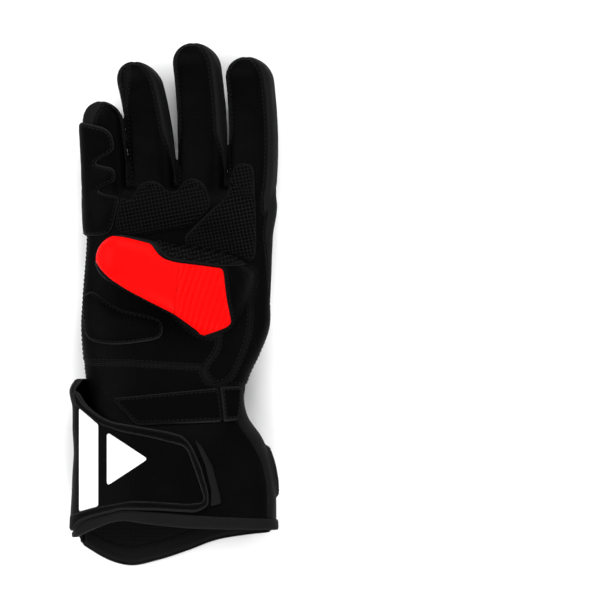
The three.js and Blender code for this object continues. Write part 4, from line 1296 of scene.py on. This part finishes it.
# %% Closing flap
FLAP_SINK = 0.5
FLAP_WRINKLE = 0.2
FLAP_TOP_Z = 30
FLAP_SIDE = dict(right=-42, far=-136, near=-44.5, low=6.5, high=31)
SEWN_ON_Z = 32
SEWN_ON_LIFT = 0.2
BORDER_INSET = 0.4


def flap_form(x, y, z):
    return trunk_field(x, y, z, FLAP_FORM)


def flap_side(x, y, z):
    """The part of the flap that bends down round the left side of the cuff."""
    return np.min([FLAP_SIDE["right"] - x, y - FLAP_SIDE["far"], FLAP_SIDE["near"] - y,
                   z - FLAP_SIDE["low"], FLAP_SIDE["high"] - z], axis=0)


flap_net = net(flap_form, low=(-68, -140, 3), high=(28, -38, 64), cell=0.95)
flap_outline = inside(crisp(FLAP_EDGE, radius=3))
flap_line = any_of(all_of(flap_outline, above(FLAP_TOP_Z)), flap_side)
flap_skin = split(flap_net, flap_line)[0]
depth = depth_of(flap_skin)
waves = smooth_step(depth, 0, 8) * FLAP_WRINKLE * crumple(flap_skin.points, size=16, seed=71)
outer = -FLAP_SINK * np.exp(-(depth**2)) + waves
inner = np.full(len(depth), -FLAP)
sewn("cuff_flap", "black_leather", flap_skin, depth, outer, inner, FADE["fold"], stitches=1.6)


def on_flap(*lines):
    """The part of the flap's surface inside all of the lines."""
    return split(flap_net, all_of(*lines, above(SEWN_ON_Z)))[0]


def border_line(x, y, z):
    return flap_outline(x, y) - BORDER_INSET


border = on_flap(border_line, other_side(inside(crisp(FLAP_FIELD, radius=3))))
patch("flap_binding", border, "black_leather", BINDING, round_edge=0.6, seed=72)
for name, outline, radius, seed in (("flap_stripe", STRIPE, 0.7, 73), ("flap_triangle", TRIANGLE, 2.4, 74)):
    shape = on_flap(inside(crisp(outline, radius)))
    patch(name, shape, "white_leather", INLAY, round_edge=0.5, seed=seed, lift=SEWN_ON_LIFT)

# %% [markdown]
# The hem of the cuff is bound with grey leather: a band outside on the near wall, a facing inside the far
# wall, and a round roll over the cut edge that joins the two. Behind the facing starts the knitted lining.

# %% The roll round the hem
ROLL = 1.05
HEM_BLEND = 2.5
HEM_START_Y = -137.0


def swell(value, square):
    """A cosine or sine on a rounded box instead of a circle."""
    return np.sign(value) * np.abs(value) ** (2 / square)


def hem_point(turn, inward):
    """A point on the hem's edge, at an angle round the section, and that much inside the outer face."""
    y = np.full(len(turn), HEM_START_Y)
    near, far = (np.array(line, float).T for line in (NEAR_HEM, FAR_HEM))
    for _ in range(6):
        middle_x, middle_z, half_width, half_depth, square = trunk_section(y, TRUNK)
        x = middle_x + (half_width - inward) * swell(np.cos(turn), square)
        z = np.maximum(middle_z + (half_depth - inward) * swell(np.sin(turn), square), inward)
        upper_share = smooth_step(z, CUFF_SEAM_Z - HEM_BLEND, CUFF_SEAM_Z + HEM_BLEND)
        y = curve(x, *near) * upper_share + curve(x, *far) * (1 - upper_share)
    return np.column_stack([x, y, z])


def sweep(path, radius, sides=10):
    """A round roll along an open path, with flat ends."""
    heading = unit(np.gradient(path, axis=0))
    side = unit(np.cross(heading, [0.0, 1.0, 0.0]))
    up = np.cross(side, heading)
    turns = np.linspace(0, 2 * np.pi, sides, endpoint=False)
    circle = side[:, None] * np.cos(turns)[:, None] + up[:, None] * np.sin(turns)[:, None]
    rings = path[:, None] + radius * circle
    count = len(path)
    points = np.vstack([rings.reshape(-1, 3), path[:1], path[-1:]])
    a = (np.arange(count - 1)[:, None] * sides + np.arange(sides)).ravel()
    b = (np.arange(count - 1)[:, None] * sides + (np.arange(sides) + 1) % sides).ravel()
    walls = np.vstack([np.column_stack([a, b, b + sides]), np.column_stack([a, b + sides, a + sides])])
    k = np.arange(sides)
    first = np.column_stack([np.full(sides, count * sides), (k + 1) % sides, k])
    last = np.column_stack([np.full(sides, count * sides + 1), k + (count - 1) * sides,
                            (k + 1) % sides + (count - 1) * sides])
    return points, np.vstack([walls, first, last])


HEM_MIDDLE_Z = 26.5
HEM_HALF_DEPTH = 29.5
SEAM_TURN = math.asin((CUFF_SEAM_Z - HEM_MIDDLE_Z) / HEM_HALF_DEPTH)
near_turns = np.linspace(SEAM_TURN - 0.02, math.pi - SEAM_TURN + 0.02, 260)
far_turns = np.linspace(math.pi - SEAM_TURN + 0.03, 2 * math.pi + SEAM_TURN - 0.03, 220)
OVER_EDGE = (0, 0.8 * ROLL, 0)
near_roll = sweep(hem_point(near_turns, inward=0.8) + OVER_EDGE, ROLL)
far_roll = sweep(hem_point(far_turns, inward=1.1) + OVER_EDGE, ROLL)
print("the hem's roll has", len(near_roll[1]) + len(far_roll[1]), "triangles")

# %% Band, facing and lining
FACING_DEPTH = 11
LINING_FROM = 11.3
INSIDE_HEM = 1.5
LINING_TOP_Y = -96
LINING_WAVE = 0.35
LIP_LOSS = 0.5
LIP_REACH = 0.7


def inner_form(x, y, z):
    return trunk_field(x, y, z) + LEATHER + GAP


def below_seam(x, y, z):
    return CUFF_SEAM_Z - z


def below_top(x, y, z):
    return LINING_TOP_Y - y


def off_the_flap(x, y, z):
    return -GAP - flap_line(x, y, z)


def bound(name, skin, outer, inner, roll):
    """A band along the hem, thinner at its edges, with the roll that covers the cut edge."""
    depth = depth_of(skin)
    lip = 1 - LIP_LOSS * np.exp(-((depth / LIP_REACH) ** 2))
    return sewn(name, "grey_leather", skin, depth, outer * lip, inner * lip, FADE["patch"], roll=roll)


band_line = all_of(other_side(hem(NEAR_HEM_BAND)), hem(NEAR_HEM), above(CUFF_SEAM_Z + GAP), off_the_flap)
band = upper(trunk_field, band_line, low=(-66, -146, 8), high=(66, -120, 64), cell=0.9)
bound("hem_binding", band, GAP + BINDING, 0.1, near_roll)
lining_net = net(inner_form, low=(-64, -158, 0), high=(64, -94, 60), cell=1.2)
facing_line = all_of(other_side(hem(FAR_HEM, FACING_DEPTH)), hem(FAR_HEM, INSIDE_HEM), below_seam)
bound("hem_facing", split(lining_net, facing_line)[0], 0.0, -LINING, far_roll)
lining_line = any_of(all_of(hem(NEAR_HEM, INSIDE_HEM), above(CUFF_SEAM_Z)),
                     all_of(hem(FAR_HEM, LINING_FROM), below_seam))
lining_skin = split(lining_net, all_of(lining_line, below_top))[0]
depth = depth_of(lining_skin)
waves = LINING_WAVE * smooth_step(depth, 0, 5) * crumple(lining_skin.points, size=11, seed=81)
lining = sewn("cuff_lining", "lining", lining_skin, depth, np.minimum(waves, 0), waves - LINING, FADE["patch"])
corners = lining_skin.points[lining_skin.triangles]
across = np.cross(corners[:, 1] - corners[:, 0], corners[:, 2] - corners[:, 0])
lining_area = np.linalg.norm(across, axis=1).sum() / 2
print("lining:", round(lining_area / 100, 1), "square centimetres")

# %% [markdown]
# A seam without stitches looks moulded. Each row of stitches runs at a fixed distance from the edge of its
# panel: the line where the depth has that value is found triangle by triangle, walked from end to end, and set
# with short arched stitches of thread. All of them are one mesh made from arrays.

# %% Rows of stitches
STITCH_PITCH = 2.7
STITCH_LENGTH = 1.9
STITCH_RADIUS = 0.3
STITCH_ARCH = 1.3
STITCH_LIFT = 0.16
# Rings of a stitch: the place along it as a share of its length, and how thick the thread is there
STITCH_RINGS = np.array([(-0.5, 0.35), (-0.36, 0.9), (0, 1), (0.36, 0.9), (0.5, 0.35)])
LOOK_AHEAD = 0.7
SHORTEST_ROW = 6


def level_lines(skin, depth, outer, level):
    """Lines on the finished surface at that distance from the edge, with their normals."""
    value = depth - level
    value = np.where(value == 0, 1e-6, value)
    keys, place = np.unique(np.sort(skin.sides(), axis=1), axis=0, return_inverse=True)
    place = place.ravel().reshape(3, -1).T
    a, b = keys.T
    crossed = value[a] * value[b] < 0
    hits = crossed[place]
    entered = hits.sum(1) == 2
    segments = place[entered][hits[entered]].reshape(-1, 2)
    t = np.where(crossed, value[a] / np.where(crossed, value[a] - value[b], 1), 0)[:, None]
    surface = skin.points + skin.normals * outer[:, None]
    points = surface[a] * (1 - t) + surface[b] * t
    normals = skin.normals[a] * (1 - t) + skin.normals[b] * t
    neighbours = {}
    for first, second in segments:
        neighbours.setdefault(first, []).append(second)
        neighbours.setdefault(second, []).append(first)
    lines = []
    ends = sorted(k for k, near in neighbours.items() if len(near) == 1)
    left = set(neighbours)
    for start in ends + sorted(left):
        if start not in left:
            continue
        line, here = [start], start
        left.discard(start)
        while True:
            onward = [k for k in neighbours[here] if k in left]
            if not onward:
                break
            here = onward[0]
            left.discard(here)
            line.append(here)
        if len(line) > SHORTEST_ROW:
            lines.append((points[line], normals[line]))
    return lines


def stitches_along(points, normals):
    """The middle, the direction and the upward direction of each stitch along a line."""
    run = np.concatenate([[0], np.cumsum(np.linalg.norm(np.diff(points, axis=0), axis=1))])
    count = int(run[-1] / STITCH_PITCH)
    if count < 2:
        return None
    middle = (np.arange(count) + 0.5) * run[-1] / count

    def at(values, where):
        return np.column_stack([np.interp(where, run, v) for v in values.T])

    ahead = at(points, middle + LOOK_AHEAD) - at(points, middle - LOOK_AHEAD)
    return at(points, middle), ahead, at(normals, middle)


def thread_mesh(rows, sides=6):
    """One small arched capsule for each stitch."""
    here, ahead, up = (np.vstack([row[k] for row in rows]) for k in range(3))
    ahead = unit(ahead)
    side = unit(np.cross(up, ahead))
    up = np.cross(ahead, side)
    turns = np.arange(sides) * 2 * np.pi / sides
    template = []
    for share, fat in STITCH_RINGS:
        for turn in turns:
            template.append((share * STITCH_LENGTH, math.cos(turn) * STITCH_RADIUS * fat,
                             math.sin(turn) * STITCH_RADIUS * fat + STITCH_LIFT - STITCH_ARCH * share**2))
    template = np.array(template)
    points = here[:, None] + sum(template[:, k][None, :, None] * axis[:, None] for k, axis in
                                 enumerate((ahead, side, up)))
    k = np.arange(sides)
    faces = []
    for ring in range(len(STITCH_RINGS) - 1):
        a, b = ring * sides + k, ring * sides + (k + 1) % sides
        faces += [np.column_stack([a, b + sides, b]), np.column_stack([a, a + sides, b + sides])]
    for ring, order in ((0, 1), (len(STITCH_RINGS) - 1, -1)):
        fan = ring * sides + np.arange(sides)
        caps = np.column_stack([np.full(sides - 2, fan[0]), fan[1:-1], fan[2:]])
        faces.append(caps if order == 1 else caps[:, ::-1])
    faces = np.vstack(faces)
    count = len(template)
    triangles = (faces[None] + (np.arange(len(here)) * count)[:, None, None]).reshape(-1, 3)
    return points.reshape(-1, 3), triangles


OPEN_TO_VIEW = 0.35


def out_of_the_gaps(here, ahead, up):
    """Without the stitches deep between two fingers, which a machine sews from inside."""
    seen = (np.abs(up[:, 2]) > OPEN_TO_VIEW) | (here[:, 1] < FINGERS_FROM_Y[1])
    return here[seen], ahead[seen], up[seen]


rows = []
for skin, depth, outer, level in stitch_rows:
    for points, normals in level_lines(skin, depth, outer, level):
        found = stitches_along(points, normals)
        if found:
            rows.append(out_of_the_gaps(*found))
points, triangles = thread_mesh(rows)
stitching = mesh_of("stitching", points, triangles, grey_thread)
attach(stitching, "root")
print("stitching:", len(rows), "rows,", sum(len(r[0]) for r in rows), "stitches,", len(triangles), "triangles")

# %% [markdown]
# The glove lies on a plain pale table. The camera looks straight down and without perspective, as the drawing
# does. Soft lamps stand beside the glove on all four sides, where the smooth leather facing the camera doesn't
# mirror them but the rounded fingers and seams do, and where they reach between the fingers.

# %% Table and camera
bpy.ops.mesh.primitive_plane_add(size=16, location=(0, 0, -0.0004))
table = bpy.context.object
table.name = "table"
pale = Finish("pale_table", Roughness=0.9, Specular_IOR_Level=0.1)
pale.colour((0.93, 0.93, 0.93), (pale.clouds(400), (0.95, 0.95, 0.95)))
table.data.materials.append(pale.material)

FRAME_WIDTH = 0.3648
FRAME_X = 0.0774
camera = bpy.data.cameras.new("camera")
camera.type = "ORTHO"
camera.ortho_scale = FRAME_WIDTH
camera_object = bpy.data.objects.new("camera", camera)
camera_object.location = (FRAME_X, 0, 2)
bpy.context.scene.collection.objects.link(camera_object)
bpy.context.scene.camera = camera_object
print("the picture is", FRAME_WIDTH, "metres wide")

# %% Lamps and sky
LAMP_SIZE = 1.2
LAMP_TARGET = Vector((0, 0, 0.02))
SKY = 0.12


def lamp(name, place, watts):
    """A round soft lamp that points at the glove."""
    light = bpy.data.lights.new(name, "AREA")
    light.shape = "DISK"
    light.size = LAMP_SIZE
    light.energy = watts
    made = bpy.data.objects.new(name, light)
    made.location = place
    made.rotation_euler = (LAMP_TARGET - Vector(place)).to_track_quat("-Z", "Y").to_euler()
    bpy.context.scene.collection.objects.link(made)


lamp("left_lamp", (-1.4, 0.3, 1.4), 34)
lamp("right_lamp", (1.3, 0.2, 1.5), 18)
lamp("foot_lamp", (0.2, -1.9, 1.0), 44)
lamp("head_lamp", (0.1, 1.7, 1.3), 34)
world = bpy.data.worlds.new("studio")
world.use_nodes = True
background = world.node_tree.nodes["Background"]
background.inputs["Color"].default_value = (1, 1, 1, 1)
background.inputs["Strength"].default_value = SKY
bpy.context.scene.world = world
bpy.context.scene.view_settings.view_transform = "Standard"
